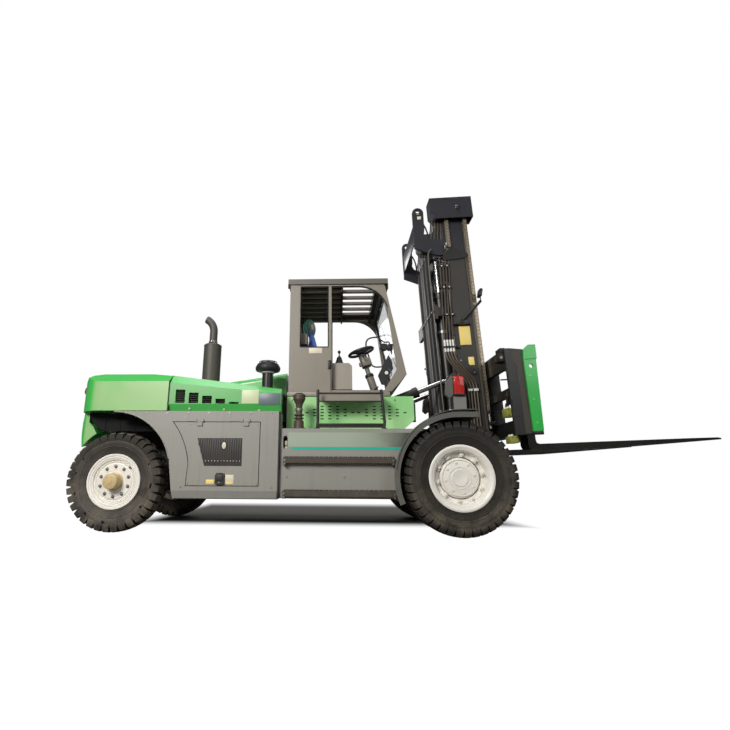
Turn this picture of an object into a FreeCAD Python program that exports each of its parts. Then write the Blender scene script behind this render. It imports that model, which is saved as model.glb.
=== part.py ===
import FreeCAD, Part
import math
import os

# Heavy counterbalance forklift. Millimetres, +X towards the forks, +Y to the
# driver's left, +Z up. The origin is on the ground, on the centre plane, under
# the middle of the overall length.

# ---------------------------------------------------------------- overall
WHEELBASE = 4000.0
REAR_OVERHANG = 620.0          # rear axle to the back of the counterweight
REAR_REACH = WHEELBASE + REAR_OVERHANG
SIDE_HALF = 1200.0             # centre plane to the grey side boxes
HOOD_HALF = 1100.0             # centre plane to the green side panels
FIT_GAP = 0.3                  # air between seated curved faces
MOVE_GAP = 8.0                 # air between pieces that move past each other
PANEL_GAP = 3.0                # joint line between fixed panels
PIN_PLAY = 0.05                # radial clearance of a pin in its bore

# ---------------------------------------------------------------- front wheels
FRONT_TYRE_R = 640.0
FRONT_TYRE_WIDTH = 315.0
DUAL_SPACING = 350.0
FRONT_TYRE_FACE = 1300.0       # centre plane to the outer tyre's outer face
FRONT_RIM_SEAT_R = 306.0
FRONT_FLANGE_R = 366.0
FRONT_HUB_R = 228.0
FRONT_SPINDLE_R = 88.0

# ---------------------------------------------------------------- rear wheels
REAR_TYRE_R = 576.0
REAR_TYRE_WIDTH = 300.0
REAR_TYRE_FACE = 1160.0
REAR_RIM_SEAT_R = 256.0
REAR_FLANGE_R = 318.0
REAR_BOLT_COUNT = 10
REAR_BOLT_PCD = 335.0
REAR_SPINDLE_R = 55.0
KINGPIN_Y = 735.0
KINGPIN_R = 32.0
AXLE_BEAM_HALF = 78.0
FLANGE_IN = 34.0               # rim flange's inner face, in from the tyre's face
BEAD_IN = 46.0                 # where the bead meets the barrel

# ---------------------------------------------------------------- mast
MAST_TILT = 2.5                # degrees the mast leans back as it parks
MAST_PIVOT_X = 235.0
MAST_PIVOT_Z = 560.0
PIVOT_PIN_R = 40.0
AXLE_TUBE_R = 150.0
CHEEK_NOSE_R = 55.0
RAIL_BACK = 300.0              # rear face of the outer rail, mast upright
RAIL_DEPTH = 290.0
RAIL_OUTER_Y = 612.0
OUTER_RAIL_WIDTH = 96.0
OUTER_WEB = 22.0
RAIL_FLANGE = 24.0
RAIL_BOTTOM = 250.0
OUTER_RAIL_TOP = 3720.0
INNER_RAIL_WIDTH = 84.0
INNER_WEB = 18.0
INNER_RAISED = 450.0           # how far the inner mast stands above its stop
LIFT_STROKE = 1050.0           # how far it can still rise
INNER_BOTTOM_LOWERED = 280.0
INNER_BEAM_Z = OUTER_RAIL_TOP + 20
HEAD_BOTTOM = OUTER_RAIL_TOP + INNER_RAISED + 105      # sheave boxes on the inner mast, as parked
HEAD_HEIGHT = 330.0
HEAD_BACK = 146.0
HEAD_FRONT = RAIL_BACK + RAIL_DEPTH + 160
ROLLER_CLEARANCE = 0.7
LUG_X = -20.0                  # hose-guide lug behind the inner mast
LUG_Z = HEAD_BOTTOM + 149
LUG_R = 82.0
LIFT_CYL_X = 190.0
LIFT_CYL_Y = 425.0
LIFT_BARREL_R = 75.0
LIFT_ROD_R = 45.0
LIFT_BARREL_FOOT = 900.0
LIFT_BARREL_TOP = OUTER_RAIL_TOP - 540
CHAIN_FRONT_X = RAIL_BACK + RAIL_DEPTH + 48
CHAIN_BACK_X = CHAIN_FRONT_X - 263
CHAIN_THICK = 58.0
CHAIN_WIDTH = 50.0

# ---------------------------------------------------------------- tilt cylinders
TILT_CYL_Y = 562.0
TILT_BASE_X = -800.0
TILT_BASE_Z = 1545.0
TILT_EYE_X = 110.0
TILT_EYE_Z = 1905.0
TILT_BARREL_R = 62.0
TILT_ROD_R = 35.0
TILT_PIN_R = 25.0
TILT_BARREL_LENGTH = 520.0
TILT_BORE_START = 110.0        # closed end of the bore, from the base pin
TILT_ROD_INSIDE = 225.0        # rod left in the barrel as parked
TILT_EYE_SLACK = 7.0           # ring of air round the open pivot's pin
TILT_EYE_HALF = 22.0

# ---------------------------------------------------------------- carriage, forks
CARRIAGE_HALF = 1190.0
CARRIAGE_BOTTOM = 1105.0
CARRIAGE_TOP = 2135.0
BEAM_BACK = RAIL_BACK + RAIL_DEPTH + 100
LOWER_BEAM_FRONT = BEAM_BACK + 218
ARM_Y = 330.0
ARM_THICK = 54.0
SHAFT_X = BEAM_BACK + 160
SHAFT_Z = 2030.0
SHAFT_R = 50.0
FORK_FACE_X = SHAFT_X + 162           # front face of the upright shank, mast upright
FORK_THICK = 92.0
FORK_WIDTH = 240.0
FORK_LENGTH = 2220.0
FORK_BLADE = 84.0
FORK_TIP = 16.0
FORK_BOTTOM = 920.0
FORK_Y = 830.0
FORK_EYE_R = 84.0
END_PLATE_WIDTH = 118.0
END_PLATE_TOP_WIDTH = 84.0
END_PLATE_THICK = 30.0

# ---------------------------------------------------------------- body
FRAME_HALF = 440.0
FRAME_PLATE = 40.0
FRAME_BOTTOM = 480.0
FRAME_TOP = 1180.0
FRAME_STEP_X = -WHEELBASE + 750.0    # where the frame narrows
TAIL_HALF = 350.0              # narrower frame between the rear wheels
TAIL_TOP = 1340.0
ENGINE_BOTTOM = 700.0
GEARBOX_BOTTOM = 560.0
PLATFORM_Z = 1195.0
BOX_TOP = 1395.0
BOX_BOTTOM = 390.0
BOX_FRONT_X = -2068.0
BOX_BACK_X = -WHEELBASE + 710.0
BOX_INNER_Y = 800.0
BOX_TUCK = 88.0                # height over which the box's foot tucks inwards
BAY_FACE_Y = 1150.0
BAY_INNER_Y = 640.0
TREAD_OUT_Y = 1225.0
TREAD_HEIGHT = 62.0
BOX_WALL = 25.0
ARCH_X = -WHEELBASE - 50.0
ARCH_Z = 660.0
ARCH_R = 730.0
ARCH_TIP_X = ARCH_X - 18.0
DOOR_ARC_R = 943.0
DOOR_TOP = 1270.0
DOOR_BOTTOM = 531.0
DOOR_FRONT_X = -2280.0
DOOR_BACK_X = -3130.0
DOOR_THICK = 24.0
DOOR_SKIN = 5.0
DOOR_GAP = 8.0
HINGE_Y = 1212.0
HINGE_XS = (-3000.0, -2450.0)
HINGE_PIN_R = 4.0
SEAM_X = -WHEELBASE + 550.0
HOOD_END_X = -2062.0
HOOD_TOP_BACK = 1872.0
HOOD_TOP_FRONT = 1694.0
HOOD_LOW = 1405.0
STEP_FRONT_X = -420.0
TREAD_FRONT_X = -715.0
STEP_BACK_X = -2050.0
STEP_BOX_BOTTOM = 400.0
UPPER_STEP_Z = 860.0
LOWER_STEP_Z = 490.0
HANDRAIL_Y = 1120.0
HANDRAIL_R = 17.0
HANDRAIL_TOP = 1665.0
HANDRAIL_REAR_X = -1612.0
HANDRAIL_FRONT_X = -852.0
LEDGE_OUT_Y = 1000.0           # outer edge of the tread under the doorway
LEDGE_TOP = 1652.0
FENDER_CENTRE_Z = 625.0
FENDER_IN_R = 692.0
FENDER_THICK = 22.0
FENDER_START = 202.0
FENDER_TIP_X = 226.0

SLOT_ROW_Z = 1359.0            # lowest row of cooling slots in the green panel
SLOT_ROW_RISE = 40.0
SLOT_PITCH = 98.0
SLOT_GROUPS = (-1475.0, -810.0)

# ---------------------------------------------------------------- counterweight
CW_TOP = 1925.0
CW_SHOULDER = 1780.0
CW_BOTTOM = 1415.0
CW_CORNER_R = 320.0
CW_LOBE_BOTTOM = 1190.0
CW_LOBE_HALF = 560.0
CW_SKIRT_HALF = 900.0
CW_SKIRT_CORNER_R = 110.0
CW_SKIRT_BOTTOM = 905.0
CW_SKIRT_SIDE = [(342, 991), (383, 1119), (447, 1229), (510, 1290)]   # behind the rear axle, height
CW_TAIL_HALF = 380.0
CW_TAIL_BOTTOM = 520.0

# ---------------------------------------------------------------- cab
CAB_HALF = 742.0
CAB_WALL = 45.0
CAB_FLOOR_Z = 1712.0
CAB_FLOOR_THICK = 62.0
CAB_BACK_X = -2015.0
CAB_TOP = 3205.0
ROOF_THICK = 75.0
ROOF_FRONT_X = -722.0
NOSE_X = -477.0
NOSE_Z = 1936.0
CAB_TOE_X = -680.0
DOORWAY_BACK_X = -1452.0
DOORWAY_TOP = 3172.0
GLASS_THICK = 8.0


# ---------------------------------------------------------------- worked out
CHEEK_SPANS = ((500.0, 526.0), (598.0, 624.0))
FOOT_SPAN = (CHEEK_SPANS[0][1] + MOVE_GAP, CHEEK_SPANS[1][0] - MOVE_GAP)
TILT_EAR_SPANS = ((TILT_CYL_Y - TILT_EYE_HALF - 30, TILT_CYL_Y - TILT_EYE_HALF - 8),
                  (TILT_CYL_Y + TILT_EYE_HALF + 8, TILT_CYL_Y + TILT_EYE_HALF + 30))

V = FreeCAD.Vector
Y_AXIS = V(0, 1, 0)
Z_AXIS = V(0, 0, 1)
nodes = {}


# ================================================================ helpers
def box(x0, x1, y0, y1, z0, z1):
    return Part.makeBox(x1 - x0, y1 - y0, z1 - z0, V(x0, y0, z0))


def face_of(points):
    wire = Part.makePolygon([V(*p) for p in points] + [V(*points[0])])
    return Part.Face(wire)


def prism_xz(points, y0, y1):
    """Outline in the side view, stretched across the truck."""
    return face_of([(x, y0, z) for x, z in points]).extrude(V(0, y1 - y0, 0))


def prism_xy(points, z0, z1):
    return face_of([(x, y, z0) for x, y in points]).extrude(V(0, 0, z1 - z0))


def prism_yz(points, x0, x1):
    return face_of([(x0, y, z) for y, z in points]).extrude(V(x1 - x0, 0, 0))


def rod_y(x, z, r, y0, y1):
    return Part.makeCylinder(r, y1 - y0, V(x, y0, z), Y_AXIS)


def rod_z(x, y, r, z0, z1):
    return Part.makeCylinder(r, z1 - z0, V(x, y, z0), Z_AXIS)


def rod_between(a, b, r):
    a, b = V(*a), V(*b)
    return Part.makeCylinder(r, (b - a).Length, a, b - a)


def spun_y(profile, x, z):
    """Ring profile of (radius, y) turned about an axle along Y."""
    face = face_of([(x + r, y, z) for r, y in profile])
    return face.revolve(V(x, 0, z), Y_AXIS, 360)


def spun_z(profile, x, y):
    face = face_of([(x + r, y, z) for r, z in profile])
    return face.revolve(V(x, y, 0), Z_AXIS, 360)


def arc_points(cx, cz, r, start, end, steps):
    """Points along an arc in the side view, angles in degrees from +X to +Z."""
    points = []
    for i in range(steps + 1):
        a = math.radians(start + (end - start) * i / steps)
        points.append((cx + r * math.cos(a), cz + r * math.sin(a)))
    return points


def fuse(shapes):
    shapes = list(shapes)
    whole = shapes[0]
    if len(shapes) > 1:
        whole = whole.multiFuse(shapes[1:])
    return whole.removeSplitter()


def cut(shape, tools):
    return shape.cut(list(tools)).removeSplitter()


def mirrored(shape):
    return shape.mirror(V(0, 0, 0), Y_AXIS)


def leaned(shape):
    """Turn a piece drawn on an upright mast back to the parked lean."""
    out = shape.copy()
    out.rotate(V(MAST_PIVOT_X, 0, MAST_PIVOT_Z), Y_AXIS, -MAST_TILT)
    return out


def lean_point(x, z):
    a = math.radians(MAST_TILT)
    dx, dz = x - MAST_PIVOT_X, z - MAST_PIVOT_Z
    return (MAST_PIVOT_X + dx * math.cos(a) - dz * math.sin(a),
            MAST_PIVOT_Z + dz * math.cos(a) + dx * math.sin(a))


def both_sides(right):
    """A right-hand piece and its mirror image, in one node."""
    return Part.makeCompound([right, mirrored(right)])


def add(name, shape):
    nodes[name] = shape


def add_pair(stem, right):
    """The right-hand piece, and its mirror image on the left."""
    nodes[stem + "_right"] = right
    nodes[stem + "_left"] = mirrored(right)


# ================================================================ chassis
def tail_frame():
    """Narrower frame between the steered wheels, closed by a bulkhead and a rear cross member."""
    back = -WHEELBASE - 330
    front = FRAME_STEP_X - 10
    side = prism_xz([(back, REAR_TYRE_R + 200), (front, REAR_TYRE_R), (front, TAIL_TOP), (back, TAIL_TOP)],
                    -TAIL_HALF, -TAIL_HALF + FRAME_PLATE)
    bulkhead = box(FRAME_STEP_X - 70, FRAME_STEP_X, -FRAME_HALF, FRAME_HALF, 560, TAIL_TOP)
    cross = box(back, back + 150, -TAIL_HALF, TAIL_HALF, 1180, TAIL_TOP)
    return fuse([side, mirrored(side), bulkhead, cross])


def chassis_frame():
    cheek_back = -160.0
    step = FRAME_STEP_X + FIT_GAP
    main = [(step, FRAME_BOTTOM), (-330, FRAME_BOTTOM), (-120, 420), (150, 420),
            (150, 740), (10, 790), (-380, FRAME_TOP), (step, FRAME_TOP)]
    right = [prism_xz(main, -FRAME_HALF, -FRAME_HALF + FRAME_PLATE)]
    # cheeks either side of the mast foot, with the foot's pin
    for y0, y1 in CHEEK_SPANS:
        nose = MAST_PIVOT_Z + CHEEK_NOSE_R - 1
        right.append(prism_xz([(cheek_back, 800), (MAST_PIVOT_X - 60, 700), (MAST_PIVOT_X, nose),
                               (MAST_PIVOT_X, MAST_PIVOT_Z - CHEEK_NOSE_R + 1), (MAST_PIVOT_X - 60, 440),
                               (cheek_back, 440)], -y1, -y0))
        right.append(rod_y(MAST_PIVOT_X, MAST_PIVOT_Z, CHEEK_NOSE_R, -y1, -y0))
    right.append(box(cheek_back - 40, cheek_back, -CHEEK_SPANS[1][1], -FRAME_HALF + 1, 440, 800))
    right.append(rod_y(MAST_PIVOT_X, MAST_PIVOT_Z, PIVOT_PIN_R, -CHEEK_SPANS[1][1], -CHEEK_SPANS[0][0]))
    # uprights that carry the rear eye of a tilt cylinder
    for y0, y1 in TILT_EAR_SPANS:
        right.append(prism_xz([(TILT_BASE_X - 220, FRAME_TOP - 40), (TILT_BASE_X - 60, TILT_BASE_Z + 30),
                               (TILT_BASE_X - 30, TILT_BASE_Z + 60), (TILT_BASE_X + 30, TILT_BASE_Z + 60),
                               (TILT_BASE_X + 60, TILT_BASE_Z + 30), (TILT_BASE_X + 200, FRAME_TOP - 40)],
                              -y1, -y0))
    right.append(box(TILT_BASE_X - 220, TILT_BASE_X + 200, -TILT_EAR_SPANS[1][1], -FRAME_HALF + 1,
                     FRAME_TOP - 60, FRAME_TOP - 30))
    right.append(rod_y(TILT_BASE_X, TILT_BASE_Z, TILT_PIN_R, -TILT_EAR_SPANS[1][1],
                       -TILT_EAR_SPANS[0][0]))
    parts = right + [mirrored(piece) for piece in right]
    parts.append(box(-1250, -1190, -FRAME_HALF, FRAME_HALF, 520, FRAME_TOP))
    parts.append(box(-480, -420, -FRAME_HALF, FRAME_HALF, 900, FRAME_TOP - 20))
    # bearers under the engine and the gearbox, and outriggers to the side boxes
    for x in (-3000, -2330):
        parts.append(box(x, x + 90, -FRAME_HALF, FRAME_HALF, 620, ENGINE_BOTTOM - FIT_GAP))
    for x in (-2020, -1480):
        parts.append(box(x, x + 90, -FRAME_HALF, FRAME_HALF, FRAME_BOTTOM + 5, GEARBOX_BOTTOM - FIT_GAP))
    for x, reach in ((-3080, BOX_INNER_Y), (-2300, BOX_INNER_Y), (-1800, BAY_INNER_Y), (-1150, BAY_INNER_Y)):
        for y0, y1 in ((FRAME_HALF - 1, reach - FIT_GAP), (FIT_GAP - reach, 1 - FRAME_HALF)):
            parts.append(box(x, x + 120, y0, y1, 1060, FRAME_TOP - 10))
    frame = fuse(parts)
    return cut(frame, [rod_y(0, FRONT_TYRE_R, AXLE_TUBE_R + FIT_GAP, -700, 700)])


def wheel_sweep(side):
    """Room the steered tyre passes through, spun about the king pin."""
    reach = REAR_TYRE_FACE - KINGPIN_Y
    points = [(0, REAR_TYRE_R)]
    for step in range(13):
        z = REAR_TYRE_R * (1 + step / 12)
        half_chord = math.sqrt(max(0, REAR_TYRE_R ** 2 - (z - REAR_TYRE_R) ** 2))
        points.append((math.hypot(half_chord, reach) + MOVE_GAP, z))
    points += [(reach + MOVE_GAP, 2 * REAR_TYRE_R + MOVE_GAP), (0, 2 * REAR_TYRE_R + MOVE_GAP)]
    corners = [V(-WHEELBASE + r, side * KINGPIN_Y, z) for r, z in points]
    face = Part.Face(Part.makePolygon(corners + corners[:1]))
    return face.revolve(V(-WHEELBASE, side * KINGPIN_Y, 0), V(0, 0, 1), 360)


def counterweight():
    rear = -REAR_REACH
    plan = Part.makeBox(REAR_REACH + SEAM_X, 2 * HOOD_HALF, 2000, V(rear, -HOOD_HALF, 0))
    edges = [e for e in plan.Edges
             if abs(e.Vertexes[0].X - rear) < 1 and abs(e.Vertexes[-1].X - rear) < 1
             and abs(e.Vertexes[0].Z - e.Vertexes[-1].Z) > 10]
    plan = plan.makeFillet(CW_CORNER_R, edges)
    shoulder_y = HOOD_HALF - 165
    section = [(-HOOD_HALF, CW_BOTTOM), (HOOD_HALF, CW_BOTTOM), (HOOD_HALF, CW_SHOULDER),
               (shoulder_y, CW_TOP - 22), (shoulder_y / 2, CW_TOP), (-shoulder_y / 2, CW_TOP),
               (-shoulder_y, CW_TOP - 22), (-HOOD_HALF, CW_SHOULDER)]
    bulk = prism_yz(section, rear, SEAM_X)
    side = [(rear, 0), (SEAM_X, 0), (SEAM_X, HOOD_TOP_BACK), (rear + 720, CW_TOP),
            (rear + 370, CW_TOP), (rear + 140, CW_TOP - 45), (rear, CW_TOP - 185)]
    upper = plan.common(bulk).common(prism_xz(side, -HOOD_HALF, HOOD_HALF))
    lobe = box(rear + 100, rear + 290, -CW_LOBE_HALF, CW_LOBE_HALF, CW_LOBE_BOTTOM, CW_BOTTOM + 5)
    skirt = prism_xz([(rear + 30, CW_BOTTOM + 5), (rear + 22, 1345), (rear - 15, 1245),
                      (rear + 45, 970), (rear + 75, CW_SKIRT_BOTTOM), (rear + 290, CW_SKIRT_BOTTOM)]
                     + [(-WHEELBASE - dx, z) for dx, z in CW_SKIRT_SIDE]
                     + [(rear + 110, CW_BOTTOM + 5)], -CW_SKIRT_HALF, CW_SKIRT_HALF)
    outline = Part.makeBox(700, 2 * CW_SKIRT_HALF, 2000, V(rear - 15, -CW_SKIRT_HALF, 0))
    edges = [e for e in outline.Edges
             if abs(e.Vertexes[0].X - rear + 15) < 1 and abs(e.Vertexes[-1].X - rear + 15) < 1
             and abs(e.Vertexes[0].Z - e.Vertexes[-1].Z) > 10]
    skirt = skirt.common(outline.makeFillet(CW_SKIRT_CORNER_R, edges))
    tail = prism_xz([(rear - 15, CW_LOBE_BOTTOM + 5), (rear - 15, 900), (rear + 120, CW_TAIL_BOTTOM),
                     (rear + 250, CW_TAIL_BOTTOM), (rear + 250, CW_LOBE_BOTTOM + 5)],
                    -CW_TAIL_HALF, CW_TAIL_HALF)
    body = fuse([upper, lobe, skirt, tail])
    saddle = box(-WHEELBASE - 345, SEAM_X + 10, -TAIL_HALF - FIT_GAP, TAIL_HALF + FIT_GAP,
                 700, TAIL_TOP + FIT_GAP)
    tow = rod_z(rear + 130, 0, 28, CW_TAIL_BOTTOM - 10, 1000)
    slot = box(rear - 40, rear + 230, -130, 130, 700, 800)
    return cut(body, [saddle, tow, slot, wheel_sweep(-1), wheel_sweep(1)])


def engine_block():
    return box(-3180, -2150, -330, 330, ENGINE_BOTTOM, 1660)


def transmission():
    return box(-2149, -1330, -280, 280, GEARBOX_BOTTOM, 1080)


def drive_axle():
    parts = [rod_y(0, FRONT_TYRE_R, AXLE_TUBE_R, -630, 630)]
    parts.append(spun_y([(AXLE_TUBE_R - 5, -255), (AXLE_TUBE_R + 5, -255), (225, -190), (262, -90), (262, 90),
                         (225, 190), (AXLE_TUBE_R + 5, 255), (AXLE_TUBE_R - 5, 255)],
                        0, FRONT_TYRE_R))
    for s in (-1, 1):
        y = sorted((s * 580, s * 1010))
        parts.append(rod_y(0, FRONT_TYRE_R, FRONT_SPINDLE_R, y[0], y[1]))
        y = sorted((s * (CHEEK_SPANS[1][1] + FIT_GAP), s * 650))
        parts.append(rod_y(0, FRONT_TYRE_R, 210, y[0], y[1]))
    return fuse(parts)


def steer_axle():
    z = REAR_TYRE_R
    x = -WHEELBASE
    half = AXLE_BEAM_HALF
    parts = [prism_xz([(x - 150, z - 110), (x + 150, z - 110), (x + 150, z + 110), (x - 150, z + 110)],
                      -420, 420)]
    for s in (-1, 1):
        y = sorted((s * 400, s * 600))
        parts.append(box(x - half, x + half, y[0], y[1], z - 150, z + 150))
        y = sorted((s * 590, s * (KINGPIN_Y)))
        for z0, z1 in ((z - 150, z - 95), (z + 95, z + 150)):
            parts.append(box(x - half, x + half, y[0], y[1], z0, z1))
            parts.append(rod_z(x, s * KINGPIN_Y, half, z0, z1))
    beam = fuse(parts)
    bores = [rod_z(x, s * KINGPIN_Y, KINGPIN_R + PIN_PLAY, z - 200, z + 200) for s in (-1, 1)]
    pads = box(x - 120, x + 120, -300, 300, z + 105, z + 200)
    return fuse([cut(beam, bores), pads])


def steer_knuckle():
    """Right-hand knuckle: king pin, yoke block and wheel spindle."""
    z = REAR_TYRE_R
    x = -WHEELBASE
    y = -KINGPIN_Y
    block = rod_z(x, y, 70, z - 95 + 2, z + 95 - 2)
    pin = rod_z(x, y, KINGPIN_R, z - 165, z + 165)
    spindle = rod_y(x, z, REAR_SPINDLE_R, -REAR_TYRE_FACE + 60, y)
    flange = rod_y(x, z, 90, y - 80, y - 40)
    arm = prism_xy([(x, y - 45), (x + 60, y - 45), (x + 230, y - 10), (x + 230, y + 30),
                    (x + 40, y + 30), (x, y + 30)], z - 60, z - 30)
    return fuse([block, pin, spindle, flange, arm])


def tyre(x, z, outer_r, seat_r, flange_r, face_y, width):
    """Tyre on the right-hand side, from its outer face inwards."""
    y0 = -face_y
    y1 = y0 + width
    mid = (y0 + y1) / 2
    side_r = seat_r + 0.55 * (outer_r - seat_r)
    half = [(seat_r + FIT_GAP, BEAD_IN), (seat_r + 44, FLANGE_IN + FIT_GAP),
            (flange_r + 6, FLANGE_IN + FIT_GAP), (flange_r + 14, 16), (side_r, 0),
            (outer_r - 62, 4), (outer_r - 22, 26), (outer_r - 4, 70)]
    profile = [(r, y0 + dy) for r, dy in half] + [(outer_r, mid)]
    profile += [(r, y1 - dy) for r, dy in reversed(half)]
    return spun_y(profile, x, z)


def front_tyres():
    parts = []
    for i in range(2):
        parts.append(tyre(0, FRONT_TYRE_R, FRONT_TYRE_R, FRONT_RIM_SEAT_R, FRONT_FLANGE_R,
                          FRONT_TYRE_FACE - i * DUAL_SPACING, FRONT_TYRE_WIDTH))
    return Part.makeCompound(parts)


def rim_barrel(x, z, seat_r, flange_r, face_y, width, wall=14.0):
    """Rim barrel with its two flanges, beads inside the tyre."""
    half = [(seat_r - wall, 20), (seat_r + 30, 18), (flange_r, 22), (flange_r, FLANGE_IN),
            (seat_r + 44, FLANGE_IN - 4), (seat_r, BEAD_IN - FIT_GAP)]
    profile = [(r, -face_y + dy) for r, dy in half]
    profile += [(r, -face_y + width - dy) for r, dy in reversed(half)]
    return spun_y(profile, x, z)


def front_rims():
    z = FRONT_TYRE_R
    outer = rim_barrel(0, z, FRONT_RIM_SEAT_R, FRONT_FLANGE_R, FRONT_TYRE_FACE, FRONT_TYRE_WIDTH)
    inner = rim_barrel(0, z, FRONT_RIM_SEAT_R, FRONT_FLANGE_R, FRONT_TYRE_FACE - DUAL_SPACING,
                       FRONT_TYRE_WIDTH)
    spacer = spun_y([(FRONT_RIM_SEAT_R - 30, -1020), (FRONT_RIM_SEAT_R - 6, -1020),
                     (FRONT_RIM_SEAT_R - 6, -910), (FRONT_RIM_SEAT_R - 30, -910)], 0, z)
    disc = spun_y([(180, -1015), (FRONT_RIM_SEAT_R - 8, -1015), (FRONT_RIM_SEAT_R - 8, -985),
                   (180, -985)], 0, z)
    drum = spun_y([(0, -1190), (22, -1190), (70, -1202), (88, -1204), (96, -1196), (186, -1190),
                   (FRONT_HUB_R - 10, -1178), (FRONT_HUB_R, -1160), (FRONT_HUB_R, -985),
                   (200, -975), (200, -660),
                   (FRONT_SPINDLE_R + FIT_GAP, -660), (FRONT_SPINDLE_R + FIT_GAP, -1010 - 5),
                   (0, -1010 - 5)], 0, z)
    return fuse([outer, inner, spacer, disc, drum])


def rear_rim():
    x = -WHEELBASE
    z = REAR_TYRE_R
    barrel = rim_barrel(x, z, REAR_RIM_SEAT_R, REAR_FLANGE_R, REAR_TYRE_FACE, REAR_TYRE_WIDTH)
    face = -REAR_TYRE_FACE
    bore = REAR_SPINDLE_R + FIT_GAP
    hub_back = -KINGPIN_Y - 125
    disc = spun_y([(bore, face + 84), (205, face + 84), (REAR_RIM_SEAT_R - 6, face + 130),
                   (REAR_RIM_SEAT_R - 6, face + 160), (200, face + 110), (bore, face + 110)], x, z)
    hub = spun_y([(0, face + 5), (60, face + 5), (76, face + 15), (80, face + 70), (95, face + 84),
                  (95, hub_back), (bore, hub_back), (bore, face + 55), (0, face + 55)], x, z)
    bolts = []
    for i in range(REAR_BOLT_COUNT):
        a = 2 * math.pi * (i + 0.5) / REAR_BOLT_COUNT
        bx = x + REAR_BOLT_PCD / 2 * math.cos(a)
        bz = z + REAR_BOLT_PCD / 2 * math.sin(a)
        bolts.append(rod_y(bx, bz, 16, face + 66, face + 100))
    return fuse([barrel, disc, hub] + bolts)


# ================================================================ side boxes
def arch_outline(grow=0.0):
    """Side view of a grey side box, its back cut to the rear wheel arch."""
    arc = arc_points(ARCH_X, ARCH_Z, ARCH_R + grow, 14, 90, 14)
    points = [(BOX_FRONT_X - grow, BOX_BOTTOM + grow), (BOX_FRONT_X - grow, BOX_TOP - grow),
              (ARCH_TIP_X + grow, BOX_TOP - grow)]
    points += list(reversed(arc))
    points += [(BOX_BACK_X + grow, BOX_BOTTOM + 95), (BOX_BACK_X + grow + 20, BOX_BOTTOM + grow)]
    return points


def door_outline(shrink=0.0):
    r = DOOR_ARC_R + shrink
    top = DOOR_TOP - shrink
    bottom = DOOR_BOTTOM + shrink
    a_top = math.degrees(math.asin((top - ARCH_Z) / r))
    arc = arc_points(ARCH_X, ARCH_Z, r, a_top, 8, 8)
    points = [(DOOR_FRONT_X - shrink, bottom), (DOOR_FRONT_X - shrink, top)] + arc
    points.append((DOOR_BACK_X + shrink, bottom))
    return points


def side_box():
    outer = prism_xz(arch_outline(), -SIDE_HALF, -BOX_INNER_Y)
    room = prism_xz([(BOX_FRONT_X - BOX_WALL, BOX_BOTTOM + BOX_WALL),
                     (BOX_FRONT_X - BOX_WALL, BOX_TOP - BOX_WALL),
                     (BOX_BACK_X - 130, BOX_TOP - BOX_WALL)]
                    + arc_points(ARCH_X, ARCH_Z, ARCH_R + BOX_WALL, 58, 14, 8)
                    + [(BOX_BACK_X + BOX_WALL + 5, BOX_BOTTOM + 95),
                       (BOX_BACK_X + BOX_WALL + 25, BOX_BOTTOM + BOX_WALL)],
                    -SIDE_HALF + BOX_WALL, -BOX_INNER_Y - BOX_WALL)
    hole = prism_xz(door_outline(), -SIDE_HALF - 1, -SIDE_HALF + BOX_WALL + 1)
    tuck = prism_yz([(-SIDE_HALF - 1, BOX_BOTTOM + BOX_TUCK), (-SIDE_HALF - 1, BOX_BOTTOM - 1),
                     (-SIDE_HALF + 18, BOX_BOTTOM - 1)], BOX_BACK_X - 50, BOX_FRONT_X + 50)
    pins = []
    for x in HINGE_XS:
        pins.append(Part.makeCylinder(HINGE_PIN_R, 90, V(x - 45, -HINGE_Y, DOOR_TOP), V(1, 0, 0)))
        for x0 in (x - 45, x + 35):
            pins.append(box(x0, x0 + 10, -HINGE_Y - 10, -SIDE_HALF + 1, DOOR_TOP - 5, DOOR_TOP + 24))
    return fuse([cut(outer, [room, hole, tuck])] + pins)


def access_door():
    """Door skin with a set-back stiffener, hinged along its top edge."""
    skin = prism_xz(door_outline(DOOR_GAP), -SIDE_HALF, -SIDE_HALF + DOOR_SKIN)
    lining = prism_xz(door_outline(DOOR_GAP + 45), -SIDE_HALF + DOOR_SKIN - 1, -SIDE_HALF + DOOR_THICK)
    leaf = fuse([skin, lining])
    opening = [(-3014, 1073), (-2493, 1073), (-2488, 762), (-2919, 762)]
    leaf = cut(leaf, [prism_xz(opening, -SIDE_HALF - 1, -SIDE_HALF + DOOR_THICK + 1)])
    frame = prism_xz([(-3024, 1083), (-2483, 1083), (-2478, 752), (-2929, 752)], -SIDE_HALF, 0)
    bars = []
    for i in range(1, 13):
        x = -3035 + i * 42
        bar = box(x, x + 12, -SIDE_HALF + 6, -SIDE_HALF + 16, 740, 1090)
        bars.append(bar.common(frame))
    latch = box(-2778, -2676, -SIDE_HALF - 14, -SIDE_HALF + 4, 560, 680)
    straps = []
    for x in HINGE_XS:
        knuckle = Part.makeCylinder(HINGE_PIN_R + 5, 60, V(x - 30, -HINGE_Y, DOOR_TOP), V(1, 0, 0))
        strap = box(x - 30, x + 30, -HINGE_Y - 4, -SIDE_HALF + 1, DOOR_TOP - 50, DOOR_TOP - 9)
        link = box(x - 30, x + 30, -HINGE_Y - 4, -HINGE_Y + 4, DOOR_TOP - 12, DOOR_TOP)
        straps += [knuckle, strap, link]
    door = fuse([leaf, latch] + bars + straps)
    bores = [Part.makeCylinder(HINGE_PIN_R + PIN_PLAY, 62, V(x - 31, -HINGE_Y, DOOR_TOP), V(1, 0, 0))
             for x in HINGE_XS]
    return cut(door, bores)


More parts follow.
